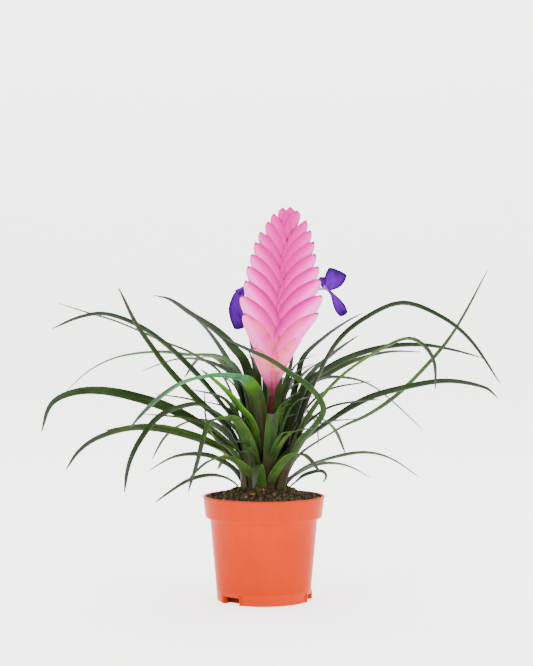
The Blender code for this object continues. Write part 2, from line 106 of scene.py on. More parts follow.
def wave(x, y, seed, size):
    """Soft lumps over a plan, between about -1 and 1: a sum of six sines. Their directions are drawn in
    space, so the steeper ones make longer waves in the plan."""
    rng = np.random.default_rng(seed)
    total = np.zeros(np.broadcast(x, y).shape)
    for _ in range(6):
        d = unit(rng.normal(size=3)) / size
        total += np.sin(x * d[0] + y * d[1] + rng.uniform(0, 6.28))
    return total / 3.0


def both_faces(half_count):
    """How far across each point of a flat section lies, -1 to 1 over its upper face and back under its
    lower one, close together at the edges; and 1 for the upper face, -1 for the lower."""
    u = np.sin(np.linspace(-1, 1, half_count) * math.pi / 2)
    upper = np.concatenate([np.ones(half_count), -np.ones(half_count - 2)])
    return np.concatenate([u, u[-2:0:-1]]), upper


print("helpers ready")

# %% [markdown]
# ## From a grid to a mesh
# Rings of points that follow each other make a closed skin: neighbouring rings are joined by four-sided
# faces, and one face closes each end. A skin carries marks, numbers on its points, such as how far across
# and how far along the piece a point lies. Several skins may share one mesh, which keeps the list of
# objects short.

# %% Skins
def ring_faces(rings, around):
    """Faces between rings: point j of ring i joins point j+1 and the same two points of ring i+1."""
    i, j = np.meshgrid(np.arange(rings - 1), np.arange(around), indexing="ij")
    k = (j + 1) % around
    corners = [i * around + j, i * around + k, (i + 1) * around + k, (i + 1) * around + j]
    return np.stack(corners, -1).reshape(-1, 4)


def closing_faces(rings, around):
    """The two faces that close a skin: the first ring turned round, and the last ring as it is."""
    first = np.arange(around)
    return first[::-1], first + (rings - 1) * around


def spread(shape, **values):
    """Each value carried over a whole grid, as one flat row of numbers."""
    return {key: np.broadcast_to(value, shape).astype(float).ravel() for key, value in values.items()}


def join_skins(skins):
    """Points, faces and marks of several skins in one mesh. A skin is its points, the number of its
    rings, the points in each, its marks, and 1 or -1 for the way that its faces turn."""
    verts, faces, total = [], [], 0
    for points, rings, around, _, way in skins:
        faces += (ring_faces(rings, around)[:, ::way] + total).tolist()
        faces += [(face[::way] + total).tolist() for face in closing_faces(rings, around)]
        verts.append(points)
        total += len(points)
    marks = {key: np.concatenate([skin[3][key] for skin in skins]) for key in skins[0][3]}
    return np.vstack(verts), faces, marks


print("skins ready")

# %% [markdown]
# ## From a mesh to a piece
# Blender keeps a shape as a mesh and places it as an object. Two of the marks become the mesh's UV map, so
# that veins can follow the piece however it bends. The sign of the volume tells whether the faces look
# outward, and shading is smooth except where two faces meet at a sharp angle.

# %% Making a piece
def make_piece(name, verts, faces, marks=None):
    """A mesh object at the origin from points in millimetres, its faces turned outward. The marks across
    and along become the UV map, and each other mark becomes an attribute of its name."""
    marks = dict(marks or {})
    mesh = bpy.data.meshes.new(name)
    mesh.from_pydata((np.asarray(verts) * MM).tolist(), [], [list(face) for face in faces])
    if signed_volume(mesh) < 0:
        mesh.flip_normals()
    if "across" in marks:
        corner = np.zeros(len(mesh.loops), np.int32)
        mesh.loops.foreach_get("vertex_index", corner)
        place = np.stack([marks.pop("across"), marks.pop("along")], -1)[corner]
        mesh.uv_layers.new(name="lay").data.foreach_set("uv", place.astype(np.float32).ravel())
    for key, values in marks.items():
        layer = mesh.attributes.new(key, "FLOAT", "POINT")
        layer.data.foreach_set("value", values.astype(np.float32))
    mesh.polygons.foreach_set("use_smooth", np.ones(len(mesh.polygons), bool))
    mesh.set_sharp_from_angle(angle=math.radians(50))
    piece = bpy.data.objects.new(name, mesh)
    bpy.context.scene.collection.objects.link(piece)
    return piece


def signed_volume(mesh):
    """Six times the volume: the sum over triangles of a point dotted with the cross of the other two."""
    mesh.calc_loop_triangles()
    tri = np.zeros(len(mesh.loop_triangles) * 3, np.int32)
    mesh.loop_triangles.foreach_get("vertices", tri)
    co = np.zeros(len(mesh.vertices) * 3)
    mesh.vertices.foreach_get("co", co)
    p = co.reshape(-1, 3)[tri.reshape(-1, 3)]
    return float(np.einsum("ij,ij->i", p[:, 0], np.cross(p[:, 1], p[:, 2])).sum())


def finish_piece(piece, material, node):
    """Give a piece its material, let it stand for its solid and ride on the plant's one body."""
    piece.data.materials.append(material)
    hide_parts(node)
    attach(piece, "root")


print("piece maker ready")

# %% [markdown]
# ## Building blocks for the finishes
# A material is a small net of nodes. Each helper here stands for one common step, so that a finish reads
# as a short recipe: start a Principled shader, turn a number into a colour or into a mask that rises or
# falls, mix two colours, and work a sum on two numbers.

# %% Node helpers
def new_material(name, roughness, specular):
    """A material with its Principled shader; what is the same all over is set on the shader itself."""
    material = bpy.data.materials.new(name)
    material.use_nodes = True
    shader = material.node_tree.nodes["Principled BSDF"]
    shader.inputs["Roughness"].default_value = roughness
    shader.inputs["Specular IOR Level"].default_value = specular
    return material, material.node_tree, shader


def node(tree, kind, settings=None, **values):
    """Add a node; settings are its properties, values are its input sockets by name."""
    made = tree.nodes.new(kind)
    for key, value in (settings or {}).items():
        setattr(made, key, value)
    for key, value in values.items():
        made.inputs[key.replace("_", " ")].default_value = value
    return made


def ramp(tree, source, stops):
    """A colour ramp: stops are (place, colour as red, green, blue)."""
    made = tree.nodes.new("ShaderNodeValToRGB")
    while len(made.color_ramp.elements) < len(stops):
        made.color_ramp.elements.new(0.5)
    for element, (place, colour) in zip(made.color_ramp.elements, stops):
        element.position = place
        element.color = (*colour, 1)
    tree.links.new(source, made.inputs["Fac"])
    return made.outputs["Color"]


def rise(tree, source, low, high):
    """A mask that goes from 0 at low to 1 at high."""
    return ramp(tree, source, ((low, (0, 0, 0)), (high, (1, 1, 1))))


def fall(tree, source, low, high):
    """A mask that goes from 1 at low to 0 at high."""
    return ramp(tree, source, ((low, (1, 1, 1)), (high, (0, 0, 0))))


def mix(tree, factor, a, b, blend="MIX"):
    """Mix two colours; each of the three may be a socket or a value."""
    made = tree.nodes.new("ShaderNodeMix")
    made.data_type = "RGBA"
    made.blend_type = blend
    for socket, value in ((made.inputs[0], factor), (made.inputs[6], a), (made.inputs[7], b)):
        if isinstance(value, bpy.types.NodeSocket):
            tree.links.new(value, socket)
        elif isinstance(value, tuple):
            socket.default_value = (*value, 1)
        else:
            socket.default_value = value
    return made.outputs[2]


def multiply(tree, a, b):
    """One colour times another, channel by channel."""
    return mix(tree, 1.0, a, b, "MULTIPLY")


def maths(tree, operation, a, b):
    """One sum on two numbers, each a socket or a value."""
    made = tree.nodes.new("ShaderNodeMath")
    made.operation = operation
    for socket, value in ((made.inputs[0], a), (made.inputs[1], b)):
        if isinstance(value, bpy.types.NodeSocket):
            tree.links.new(value, socket)
        else:
            socket.default_value = value
    return made.outputs[0]


def times(tree, a, b):
    """The product of two numbers."""
    return maths(tree, "MULTIPLY", a, b)


print("node helpers ready")

# %% [markdown]
# ## Where a finish looks
# A finish changes over the surface, so it has to know the place. It reads how far along the piece a point
# lies, where it is in real size, or a number stored on the points. What it finds can become a colour, or
# a height that is pressed into the surface as a bump.

# %% Places and bumps
def part_of(tree, vector, axis):
    """One of the three numbers of a vector: X, Y or Z."""
    split = tree.nodes.new("ShaderNodeSeparateXYZ")
    tree.links.new(vector, split.inputs["Vector"])
    return split.outputs[axis]


def along_piece(tree):
    """How far along the piece a point lies, from 0 at its foot to 1 at its tip."""
    return part_of(tree, node(tree, "ShaderNodeUVMap", {"uv_map": "lay"}).outputs["UV"], "Y")


def object_place(tree):
    """The point in the object's own metres; each object stands at the origin, so Z is the height."""
    return tree.nodes.new("ShaderNodeTexCoord").outputs["Object"]


def mark(tree, name):
    """Read a number that was stored on the mesh's points."""
    return node(tree, "ShaderNodeAttribute", {"attribute_name": name}).outputs["Fac"]


def bump(tree, shader, height, strength, distance):
    """Feed a height into the shader's normal."""
    made = node(tree, "ShaderNodeBump", None, Strength=strength, Distance=distance)
    tree.links.new(height, made.inputs["Height"])
    tree.links.new(made.outputs["Normal"], shader.inputs["Normal"])


print("places and bumps ready")

# %% [markdown]
# ## Two shared effects
# The first gives fine lines that follow a piece however it bends, since it reads the piece's own UV map.
# The second gives soft blotches in real size, since it reads the object's coordinates. Leaves, bracts,
# petals, plastic and peat all use one or both, each with its own value.

# %% Shared effects
def make_vein_group():
    """Fine lines that run the length of a piece: noise read with the across value stretched."""
    group = bpy.data.node_groups.new("lengthwise_veins", "ShaderNodeTree")
    group.interface.new_socket("Count", in_out="INPUT", socket_type="NodeSocketFloat")
    group.interface.new_socket("Lines", in_out="OUTPUT", socket_type="NodeSocketFloat")
    start = group.nodes.new("NodeGroupInput")
    end = group.nodes.new("NodeGroupOutput")
    place = node(group, "ShaderNodeUVMap", {"uv_map": "lay"})
    join = group.nodes.new("ShaderNodeCombineXYZ")
    noise = node(group, "ShaderNodeTexNoise", None, Scale=1.0, Detail=3.0, Roughness=0.6)
    across = part_of(group, place.outputs["UV"], "X")
    group.links.new(times(group, across, start.outputs["Count"]), join.inputs["X"])
    group.links.new(times(group, along_piece(group), 3.0), join.inputs["Y"])
    group.links.new(join.outputs["Vector"], noise.inputs["Vector"])
    group.links.new(noise.outputs["Fac"], end.inputs["Lines"])
    return group


def make_mottle_group():
    """Soft blotches in real size: noise on object coordinates, its size set in metres."""
    group = bpy.data.node_groups.new("soft_mottling", "ShaderNodeTree")
    group.interface.new_socket("Scale", in_out="INPUT", socket_type="NodeSocketFloat")
    group.interface.new_socket("Blotches", in_out="OUTPUT", socket_type="NodeSocketFloat")
    start = group.nodes.new("NodeGroupInput")
    end = group.nodes.new("NodeGroupOutput")
    noise = node(group, "ShaderNodeTexNoise", None, Detail=4.0, Roughness=0.55)
    group.links.new(start.outputs["Scale"], noise.inputs["Scale"])
    group.links.new(object_place(group), noise.inputs["Vector"])
    group.links.new(noise.outputs["Fac"], end.inputs["Blotches"])
    return group


vein_group = make_vein_group()
mottle_group = make_mottle_group()


def effect(tree, group, socket, value):
    """Place a shared effect in a material with its own value."""
    made = tree.nodes.new("ShaderNodeGroup")
    made.node_tree = group
    made.inputs[socket].default_value = value
    return made.outputs[0]


print("effects:", vein_group.name, mottle_group.name)

# %% [markdown]
# ## Leaf green
# A leaf is purple-brown where it clasps the stem, leathery green along its middle, and grey-brown at its
# dry thread of a tip. Each leaf has its own tone, from dark green to bluish or fresh green. Fine lines
# run its whole length, and the back of the blade is a little paler than its face.

# %% Leaf finish
def leaf_finish():
    """Colour by place along the leaf, then by tone, veins and side of the blade."""
    material, tree, shader = new_material("leaf_green", 0.45, specular=0.05)
    along = along_piece(tree)
    tone, dry, under = mark(tree, "tone"), mark(tree, "dry"), mark(tree, "under")
    sheath, edge = mark(tree, "sheath"), mark(tree, "edge")
    lines = effect(tree, vein_group, "Count", 30.0)
    blotch = effect(tree, mottle_group, "Scale", 55.0)
    green = ramp(tree, tone, ((0.0, (0.006, 0.015, 0.006)), (0.3, (0.0125, 0.031, 0.0085)),
                              (0.55, (0.023, 0.050, 0.010)), (0.8, (0.038, 0.11, 0.009)),
                              (0.9, (0.026, 0.085, 0.026)), (1.0, (0.026, 0.10, 0.055))))
    pale = multiply(tree, green, (1.5, 1.5, 1.6))
    green = mix(tree, times(tree, under, 0.6), green, pale)
    stripe = ramp(tree, lines, ((0.36, (0.66, 0.64, 0.6)), (0.64, (1.3, 1.3, 1.25))))
    green = multiply(tree, green, stripe)
    shade = ramp(tree, blotch, ((0.35, (0.7, 0.72, 0.62)), (0.65, (1.45, 1.35, 1.15))))
    green = multiply(tree, green, shade)
    # Painted highlight: the outer fifth of the width at each edge is lightened, up to 1.7 times.
    painted_edge_highlight = ramp(tree, edge, ((0.8, (1.0, 1.0, 1.0)), (1.0, (1.7, 1.65, 1.5))))
    green = multiply(tree, green, painted_edge_highlight)
    brown = ramp(tree, lines, ((0.38, (0.012, 0.006, 0.005)), (0.62, (0.045, 0.028, 0.016))))
    reach = maths(tree, "DIVIDE", along, sheath)
    foot = ramp(tree, reach, ((0.0, (1, 1, 1)), (0.13, (0.9, 0.9, 0.9)), (0.3, (0, 0, 0))))
    colour = mix(tree, foot, green, brown)
    pale_foot = fall(tree, times(tree, along, 12.0), 0.0, 1.0)
    colour = mix(tree, times(tree, pale_foot, 0.35), colour, (0.075, 0.075, 0.018))
    tip = rise(tree, times(tree, along, dry), 0.76, 0.99)
    colour = mix(tree, times(tree, tip, 0.9), colour, (0.038, 0.045, 0.035))
    tree.links.new(colour, shader.inputs["Base Color"])
    bump(tree, shader, lines, 0.4, 0.0004)
    return material


leaf_green = leaf_finish()
print("finish:", leaf_green.name)

# %% [markdown]
# ## The leaves
# Each leaf rises from its place round the stem base, arches out and hangs to a thread. A row gives its
# bearing at foot and tip, its width, how far the blade rolls, how far out its foot stands, the tone of its
# green and how far its dry tip runs back. Then come points of its middle line, as reach from the axis and
# height. One leaf crosses in front of the quill, and its line is given as points in space.

# %% Leaf measurements
LEAVES = (
    ("leaf_right_01", -14, -12, 9, 30, 8, 0.22, 1.0,
     ((23, 118), (32, 142), (41, 164), (56, 190), (76, 207), (103, 218), (131, 208), (152, 191),
      (173, 161))),
    ("leaf_right_02", 10, 16, 9, -30, 16, 0.33, 1.05,
     ((27, 106), (58, 125), (82, 135), (106, 150), (130, 172), (148, 192), (163, 215), (180, 246))),
    ("leaf_right_03", -6, -4, 10, 35, 13, 0.3, 1.0,
     ((21, 109), (49, 131), (75, 147), (100, 155), (133, 161), (161, 157), (172, 149))),
    ("leaf_right_04", -34, -18, 12, 25, 16, 0.5, 1.0,
     ((30, 122), (45, 147), (62, 166), (85, 182), (106, 192), (118, 189), (127, 177), (129, 157))),
    ("leaf_right_05", 18, 22, 9, 30, 11, 0.2, 1.0,
     ((32, 153), (49, 168), (73, 179), (103, 186), (133, 187), (160, 183), (186, 177))),
    ("leaf_right_06", 30, 30, 7, 20, 14, 0.42, 1.1,
     ((38, 153), (56, 165), (83, 176), (113, 182), (143, 182))),
    ("leaf_right_07", 40, 38, 6, 20, 17, 0.3, 1.1,
     ((35, 146), (53, 161), (81, 162), (106, 156), (130, 142), (162, 119))),
    ("leaf_right_08", 52, 50, 6, 10, 8, 0.35, 1.3,
     ((39, 157), (48, 178), (75, 194), (100, 205), (123, 213))),
    ("leaf_right_09", 58, 54, 6, 10, 9, 0.4, 1.3,
     ((50, 152), (66, 167), (99, 183), (130, 195))),
    ("leaf_right_10", 24, 28, 7, 20, 18, 0.55, 1.15,
     ((31, 94), (48, 100), (83, 105), (110, 100), (138, 84))),
    ("leaf_right_11", 45, 45, 6, 20, 18, 0.6, 1.2,
     ((35, 90), (52, 95), (72, 96), (95, 92), (120, 82))),
    ("leaf_right_12", -10, -10, 7, 20, 18, 0.45, 1.5,
     ((24, 87), (31, 92), (42, 95), (46, 92), (44, 87))),
    ("leaf_right_13", 64, 68, 5, 10, 6, 0.35, 1.2,
     ((40, 150), (76, 162), (96, 168), (124, 174))),
    ("leaf_right_14", 80, 58, 5, 10, 12, 0.25, 1.2,
     ((34, 136), (48, 142), (58, 140), (72, 131), (79, 119), (80, 108))),
    ("leaf_right_15", 76, 80, 5, 10, 7, 0.3, 1.2,
     ((40, 150), (70, 168), (110, 184), (140, 192))),
    ("leaf_right_16", 82, 74, 6, 10, 17, 0.4, 1.1,
     ((40, 132), (62, 158), (78, 174), (84, 186))),
    ("leaf_left_01", 204, 163, 8, -30, 9, 0.3, 1.1,
     ((27, 158), (51, 180), (81, 192), (115, 205), (140, 212), (166, 220))),
    ("leaf_left_02", -168, -172, 11, -30, 12, 0.2, 1.0,
     ((18, 124), (33, 145), (48, 163), (70, 185), (92, 201), (116, 210), (135, 208), (155, 200))),
    ("leaf_left_03", -182, -156, 10, -25, 13, 0.38, 1.05,
     ((21, 118), (34, 133), (52, 148), (75, 170), (91, 190), (102, 206), (113, 229))),
    ("leaf_left_04", 166, 152, 7, -25, 7, 0.9, 1.1,
     ((16, 158), (33, 178), (64, 180), (91, 182), (128, 178), (156, 167), (177, 151))),
    ("leaf_left_05", 156, 142, 7, -20, 11, 0.35, 1.2,
     ((17, 150), (30, 167), (58, 176), (88, 176), (122, 167))),
    ("leaf_left_06", -190, -176, 11, -35, 14, 0.36, 1.0,
     ((18, 101), (40, 123), (69, 140), (99, 150), (123, 154), (142, 152), (156, 144), (163, 125))),
    ("leaf_left_07", -156, -166, 11, -35, 17, 0.5, 1.1,
     ((19, 96), (33, 110), (56, 120), (78, 126), (100, 127), (122, 121), (136, 112), (146, 99))),
    ("leaf_left_08", 160, 174, 8, -30, 17, 0.65, 1.2,
     ((19, 98), (37, 113), (63, 123), (89, 127), (119, 124))),
    ("leaf_left_09", -142, -150, 10, -25, 14, 0.25, 1.0,
     ((21, 119), (36, 135), (52, 144), (65, 144), (85, 137), (100, 121), (109, 104), (113, 85))),
    ("leaf_left_10", -98, -128, 13, -15, 6, 0.97, 1.0,
     ((12, 118), (19, 146), (31, 160), (43, 164), (68, 166), (93, 162), (119, 150), (144, 134))),
    ("leaf_left_11", -112, -135, 11, -15, 16, 0.45, 1.15,
     ((20, 107), (26, 122), (35, 134), (45, 135), (54, 133), (60, 121), (66, 104), (75, 85))),
    ("leaf_left_12", 178, 178, 7, -20, 18, 0.5, 1.3,
     ((22, 86), (30, 90), (42, 91), (58, 86), (81, 71))),
    ("leaf_left_13", 133, 133, 9, -20, 8, 0.3, 1.2,
     ((17, 164), (35, 186), (55, 199), (85, 212), (109, 223), (129, 227))),
    ("leaf_left_14", 138, 122, 7, -10, 15, 0.25, 1.2,
     ((26, 158), (46, 176), (69, 191), (91, 203), (118, 214))),
    ("leaf_left_15", 98, 97, 6, -10, 11, 0.4, 1.2,
     ((34, 164), (68, 186), (99, 202), (135, 220))),
    ("leaf_left_16", -118, -140, 11, -20, 8, 0.82, 0.95,
     ((15, 127), (26, 142), (39, 156), (59, 171))),
    ("leaf_left_17", -148, -172, 6, -20, 16, 0.6, 1.1,
     ((22, 108), (36, 118), (43, 133), (44, 144), (44, 155))),
    ("leaf_front_01", -60, -62, 11, 10, 12, 0.5, 0.9,
     ((16, 112), (22, 130), (30, 143), (42, 150))),
    ("leaf_front_02", -80, -84, 7.5, 0, 14, 0.34, 0.8,
     ((20, 106), (30, 126), (46, 138), (64, 138), (84, 126))),
    ("leaf_front_03", -72, -60, 8, 10, 16, 0.48, 1.1,
     ((24, 96), (40, 108), (58, 110), (78, 100))),
    ("leaf_front_04", -108, -130, 9, -10, 17, 0.45, 1.1,
     ((26, 96), (42, 106), (60, 106), (82, 94))),
    ("leaf_front_05", -95, -95, 7, 0, 18, 0.42, 1.1,
     ((25, 94), (40, 102), (58, 102), (80, 90))),
    ("leaf_back_01", 48, 92, 9, 0, 5, 0.4, 1.1,
     ((22, 140), (46, 170), (80, 190), (116, 194), (148, 184))),
    ("leaf_back_02", 114, 116, 9, -10, 10, 0.5, 1.1,
     ((22, 132), (48, 160), (82, 176), (118, 176), (150, 160))),
    ("leaf_back_03", 104, 80, 9, 10, 13, 0.3, 1.1,
     ((24, 122), (50, 144), (84, 158), (120, 156), (150, 138))),
    ("leaf_back_04", 100, 102, 10, 0, 14, 0.45, 1.1,
     ((24, 114), (52, 134), (86, 144), (122, 136), (150, 114))),
    ("leaf_back_05", 64, 62, 9, 15, 16, 0.6, 1.1,
     ((26, 108), (52, 124), (86, 130), (118, 120), (142, 98))),
    ("leaf_back_06", 130, 132, 9, -15, 16, 0.35, 1.1,
     ((26, 108), (52, 124), (84, 128), (114, 116), (134, 96))),
    ("leaf_back_07", 82, 86, 9, 0, 18, 0.5, 1.15,
     ((28, 98), (50, 108), (78, 108), (104, 96), (122, 78))),
    ("leaf_back_08", 112, 112, 9, 0, 18, 0.65, 1.15,
     ((28, 96), (48, 104), (74, 102), (98, 88))),
    ("leaf_back_09", 150, 150, 8, -20, 18, 0.4, 1.15,
     ((28, 96), (50, 104), (78, 102), (104, 90))),
)
CROSSING_LEAF = ((12, -12, 80.2), (17, -17, 98), (28, -23, 118), (38, -26, 130), (44, -27, 140),
                 (41, -28, 150), (32, -29, 160), (18, -30, 170), (4, -30, 179), (-14, -30, 187),
                 (-31, -30, 195))
print("leaves:", len(LEAVES) + 1)

# %% [markdown]
# ## From a row to a leaf
# A leaf could be a bent plane, but a plane has an edge that vanishes when seen side on. So each leaf is a
# thin closed section carried along the middle line. The section is a channel: the two edges stand above
# the middle, which is what stiffens a real leaf of this kind.

# %% Leaf shapes
ROOT_TOP, ROOT_EDGE, ROOT_RADIUS = 84.0, 78.6, 19.2
LEAF_TAPER = ((0, 1.06), (0.15, 0.99), (0.4, 0.9), (0.65, 0.76), (0.85, 0.54), (0.95, 0.34), (1, 0.1))
HALF_THICKNESS = 0.36
FRESH_TONE, BLUE_TONE = 0.8, 0.95


def root_height(r):
    """Top of the stem base: a dome that falls from its middle with the square of the radius."""
    return ROOT_TOP - (ROOT_TOP - ROOT_EDGE) * (r / ROOT_RADIUS) ** 2


def leaf_line(foot_bearing, tip_bearing, foot, points):
    """Middle line: a smooth curve of reach and height, swung round the axis from the foot's bearing to
    the tip's, fast at first: the turn left is the cube of the share of reach left."""
    low = root_height(foot) + 0.4
    lift = min(6.0, 0.35 * (points[0][1] - low))
    flat = smooth_line([(foot, low), (foot + 0.3, low + lift)] + list(points), 121)
    share = np.clip((flat[:, 0] - foot) / (max(p[0] for p in points) - foot), 0, 1)
    bearing = np.radians(tip_bearing + (foot_bearing - tip_bearing) * (1 - share) ** 3)
    return np.stack([flat[:, 0] * np.cos(bearing), flat[:, 0] * np.sin(bearing), flat[:, 1]], 1)


def leaf_skin(line, width, roll, foot, seed, rings=58, half_count=9):
    """Closed section carried along the line. Across the leaf u runs from -1 to 1 on the upper face and
    back on the lower one. The section rises by depth times u squared, so the leaf is a channel; its
    thickness falls off as the root of 1 - u squared, and its width follows the taper."""
    line = smooth_line(line[::3], rings)
    t = np.linspace(0, 1, rings)
    tangent, side = carried_side(line, unit(np.array([-line[0, 1], line[0, 0], 0.0])))
    face = unit(np.cross(tangent, side))
    turn = np.radians(roll) * np.clip(t * 2.2, 0, 1) ** 1.5 + 0.06 * np.sin(5 * t + seed)
    side, face = (side * np.cos(turn)[:, None] + face * np.sin(turn)[:, None],
                  face * np.cos(turn)[:, None] - side * np.sin(turn)[:, None])
    half = 0.5 * width * np.interp(t, *zip(*LEAF_TAPER))
    depth = half ** 2 / (2 * foot) * (1 - t) ** 2 + 0.42 * half * (1 - (1 - t) ** 2)
    thick = HALF_THICKNESS * np.interp(t, [0, 0.8, 1], [1.1, 0.85, 0.5])
    u, upper = both_faces(half_count)
    lift = depth[:, None] * u ** 2 + upper * np.sqrt(np.clip(1 - u ** 2, 0, 1)) * thick[:, None]
    body = line[:, None] + side[:, None] * (u * half[:, None])[..., None] + face[:, None] * lift[..., None]
    marks = spread(body.shape[:2], across=u * 0.5 + 0.5, along=t[:, None], under=upper < 0, edge=np.abs(u))
    return body.reshape(-1, 3), rings, len(u), marks, 1


def grow_leaf(name, line, width, roll, foot, tone, dry, seed):
    """Make one leaf piece in place of its solid. Inner leaves have longer brown sheaths, and the bluish
    leaf is so only on its outer part."""
    skin = leaf_skin(line, width, roll, foot, seed)
    marks = skin[3]
    sheath = np.interp(foot, [8, 14, 17, 18], [1.15, 1.1, 0.8, 0.35]) * (1 + 0.25 * math.sin(2.3 * seed))
    if FRESH_TONE < tone <= BLUE_TONE:
        sheath *= 1.3
    outer = np.clip((marks["along"] - 0.3) / 0.14, 0, 1) if tone > BLUE_TONE else 1.0
    marks["across"] += seed * 0.37
    marks.update(spread(len(skin[0]), tone=0.42 + (tone - 0.42) * outer, dry=dry, sheath=sheath))
    finish_piece(make_piece(name + "_blade", *join_skins([skin])), leaf_green, name)


for number, (name, start, end, width, roll, foot, tone, dry, points) in enumerate(LEAVES):
    grow_leaf(name, leaf_line(start, end, foot, points), width, roll, foot, tone, dry, number)
grow_leaf("leaf_front_06", smooth_line(CROSSING_LEAF, 121), width=8, roll=0, foot=16.97, tone=0.32,
          dry=1.1, seed=60)
print("leaves grown:", len(LEAVES) + 1)

# %% [markdown]
# ## Young leaves
# Round the flower stem stand young, thread-thin leaves that fill the heart of the rosette. Their bearings
# step by the golden angle, 137.5 degrees, as leaves do on a growing stem. A seeded draw gives reach and
# height, and leaves towards the front stay lower, so the quill is seen. They are one piece.

# %% Young leaves
GOLDEN_ANGLE = 137.5
YOUNG_COUNT = 34


def young_leaves(count, seed):
    """Skins of thin leaves, each with its own bearing, reach, height and tone, joined in one mesh."""
    rng = np.random.default_rng(seed)
    skins = []
    for k in range(count):
        bearing = GOLDEN_ANGLE * k + rng.uniform(-8, 8)
        reach, top = rng.uniform(26, 92), rng.uniform(134, 188)
        top -= 26 * max(0.0, -math.sin(math.radians(bearing)))
        growth = top - ROOT_TOP
        points = ((0.2 * reach + 4, ROOT_TOP + 0.5 * growth), (0.55 * reach, ROOT_TOP + 0.88 * growth),
                  (reach, top))
        foot = rng.uniform(3.5, 6.5)
        line = leaf_line(bearing, bearing + rng.uniform(-16, 16), foot, points)
        skin = leaf_skin(line, rng.uniform(3.6, 5.6), 15, foot, k, rings=40, half_count=7)
        skin[3]["across"] += k * 0.61
        skin[3].update(spread(len(skin[0]), tone=rng.uniform(0.1, 0.55), dry=1.05, sheath=0.7))
        skins.append(skin)
    return make_piece("young_leaves", *join_skins(skins))


young = young_leaves(YOUNG_COUNT, seed=5)
young.data.materials.append(leaf_green)
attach(young, "root")
print("young leaves:", YOUNG_COUNT)

# %% [markdown]
# ## Bract pink
# A bract is waxy. It is deep pink along its open edge, fades to a pale pink towards the fold below, and
# carries faint lengthwise veins. The oldest bracts at the foot turn peach with a yellow-green edge, and
# each one ends in a tiny dry point.

# %% Bract finish
def bract_finish():
    """Colour by how far a point lies from the fold to the open edge, then by the bract's age."""
    material, tree, shader = new_material("bract_pink", 0.55, specular=0.03)
    rim, age, along = mark(tree, "rim"), mark(tree, "age"), mark(tree, "reach")
    lines = effect(tree, vein_group, "Count", 30.0)
    body = ramp(tree, rim, ((0.34, (1.0, 0.16, 0.62)), (0.5, (1.0, 0.015, 0.48)), (0.66, (0.82, 0.0, 0.34)),
                            (0.85, (0.48, 0.0, 0.195)), (1.0, (0.32, 0.0, 0.13))))
    stripe = ramp(tree, lines, ((0.34, (0.88, 0.7, 0.86)), (0.66, (1.05, 1.35, 1.08))))
    body = mix(tree, 0.7, body, multiply(tree, body, stripe))
    heart = fall(tree, along, 0.3, 0.62)
    young = rise(tree, age, 0.5, 1.0)
    deep = maths(tree, "MAXIMUM", times(tree, heart, 0.25), times(tree, young, 0.85))
    body = mix(tree, deep, body, (0.55, 0.0, 0.215))
    old = ramp(tree, rim, ((0.3, (1.0, 0.13, 0.36)), (0.75, (1.0, 0.17, 0.19)), (1.0, (0.95, 0.2, 0.12))))
    aged = ramp(tree, age, ((0.05, (1, 1, 1)), (0.2, (1, 1, 1)), (0.29, (0.6, 0.6, 0.6)),
                            (0.38, (0.4, 0.4, 0.4)), (0.5, (0, 0, 0))))
    patch = ramp(tree, effect(tree, mottle_group, "Scale", 90.0),
                 ((0.4, (0.35, 0.35, 0.35)), (0.6, (1, 1, 1))))
    colour = mix(tree, times(tree, aged, patch), body, old)
    leafy = fall(tree, age, 0.12, 0.24)
    spot = rise(tree, effect(tree, mottle_group, "Scale", 130.0), 0.48, 0.58)
    leafy = times(tree, times(tree, leafy, spot), 0.6)
    colour = mix(tree, leafy, colour, (0.42, 0.36, 0.06))
    low = fall(tree, maths(tree, "ADD", age, times(tree, along, 0.12)), 0.08, 0.22)
    colour = mix(tree, times(tree, low, 0.5), colour, (0.42, 0.01, 0.09))
    foot = fall(tree, times(tree, part_of(tree, object_place(tree), "Z"), 5.0), 0.775, 0.85)
    colour = mix(tree, times(tree, foot, 0.9), colour, (0.075, 0.018, 0.014))
    point = rise(tree, along, 0.91, 0.96)
    colour = mix(tree, times(tree, point, 0.9), colour, (0.08, 0.025, 0.04))
    tree.links.new(colour, shader.inputs["Base Color"])
    bump(tree, shader, lines, 0.2, 0.0004)
    return material


bract_pink = bract_finish()
print("finish:", bract_pink.name)

# %% [markdown]
# ## The quill
# Two ranks of bracts alternate on one leaning axis. Each bract is given by its tip: how far up the axis
# it ends, and how far out to its side. Both lists of tips run from the foot up.

# %% Quill measurements
QUILL_FOOT = np.array([7.3, 0.0, 162.0])
LEAN = math.radians(4.75)
AXIS = np.array([math.sin(LEAN), 0, math.cos(LEAN)])
RIGHT = np.array([math.cos(LEAN), 0, -math.sin(LEAN)])
LEFT_TIPS = ((23, 16), (48, 26), (61, 29), (72, 27), (83, 26), (92, 24), (101, 22), (109, 19), (117, 14),
             (123, 10), (128, 4))
RIGHT_TIPS = ((12, 8), (35, 18), (53, 29), (66, 30), (78, 28), (87, 26), (96, 23), (105, 21), (113, 18),
              (120, 14), (127, 7), (129, 2))
QUILL_LENGTH = 129.0
print("bract tips:", len(LEFT_TIPS) + len(RIGHT_TIPS))

# %% [markdown]
# ## The shape of a bract
# A bract is a boat-shaped sheet folded along its outer edge, open along its upper edge, and it clasps the
# base of the next one up. The fold and the open edge are two curves from the axis to the tip, and the
# sheet spans both with a rounded side, front and back. One closed skin for each bract, all in one mesh,
# keeps the overlaps crisp.

# %% Bract shapes
def bezier(a, b, c, t):
    """A curve that leaves a towards b and arrives at c: weights (1-t)^2, 2t(1-t) and t^2."""
    a, b, c, t = np.array(a, float), np.array(b, float), np.array(c, float), t[:, None]
    return (1 - t) ** 2 * a + 2 * t * (1 - t) * b + t ** 2 * c


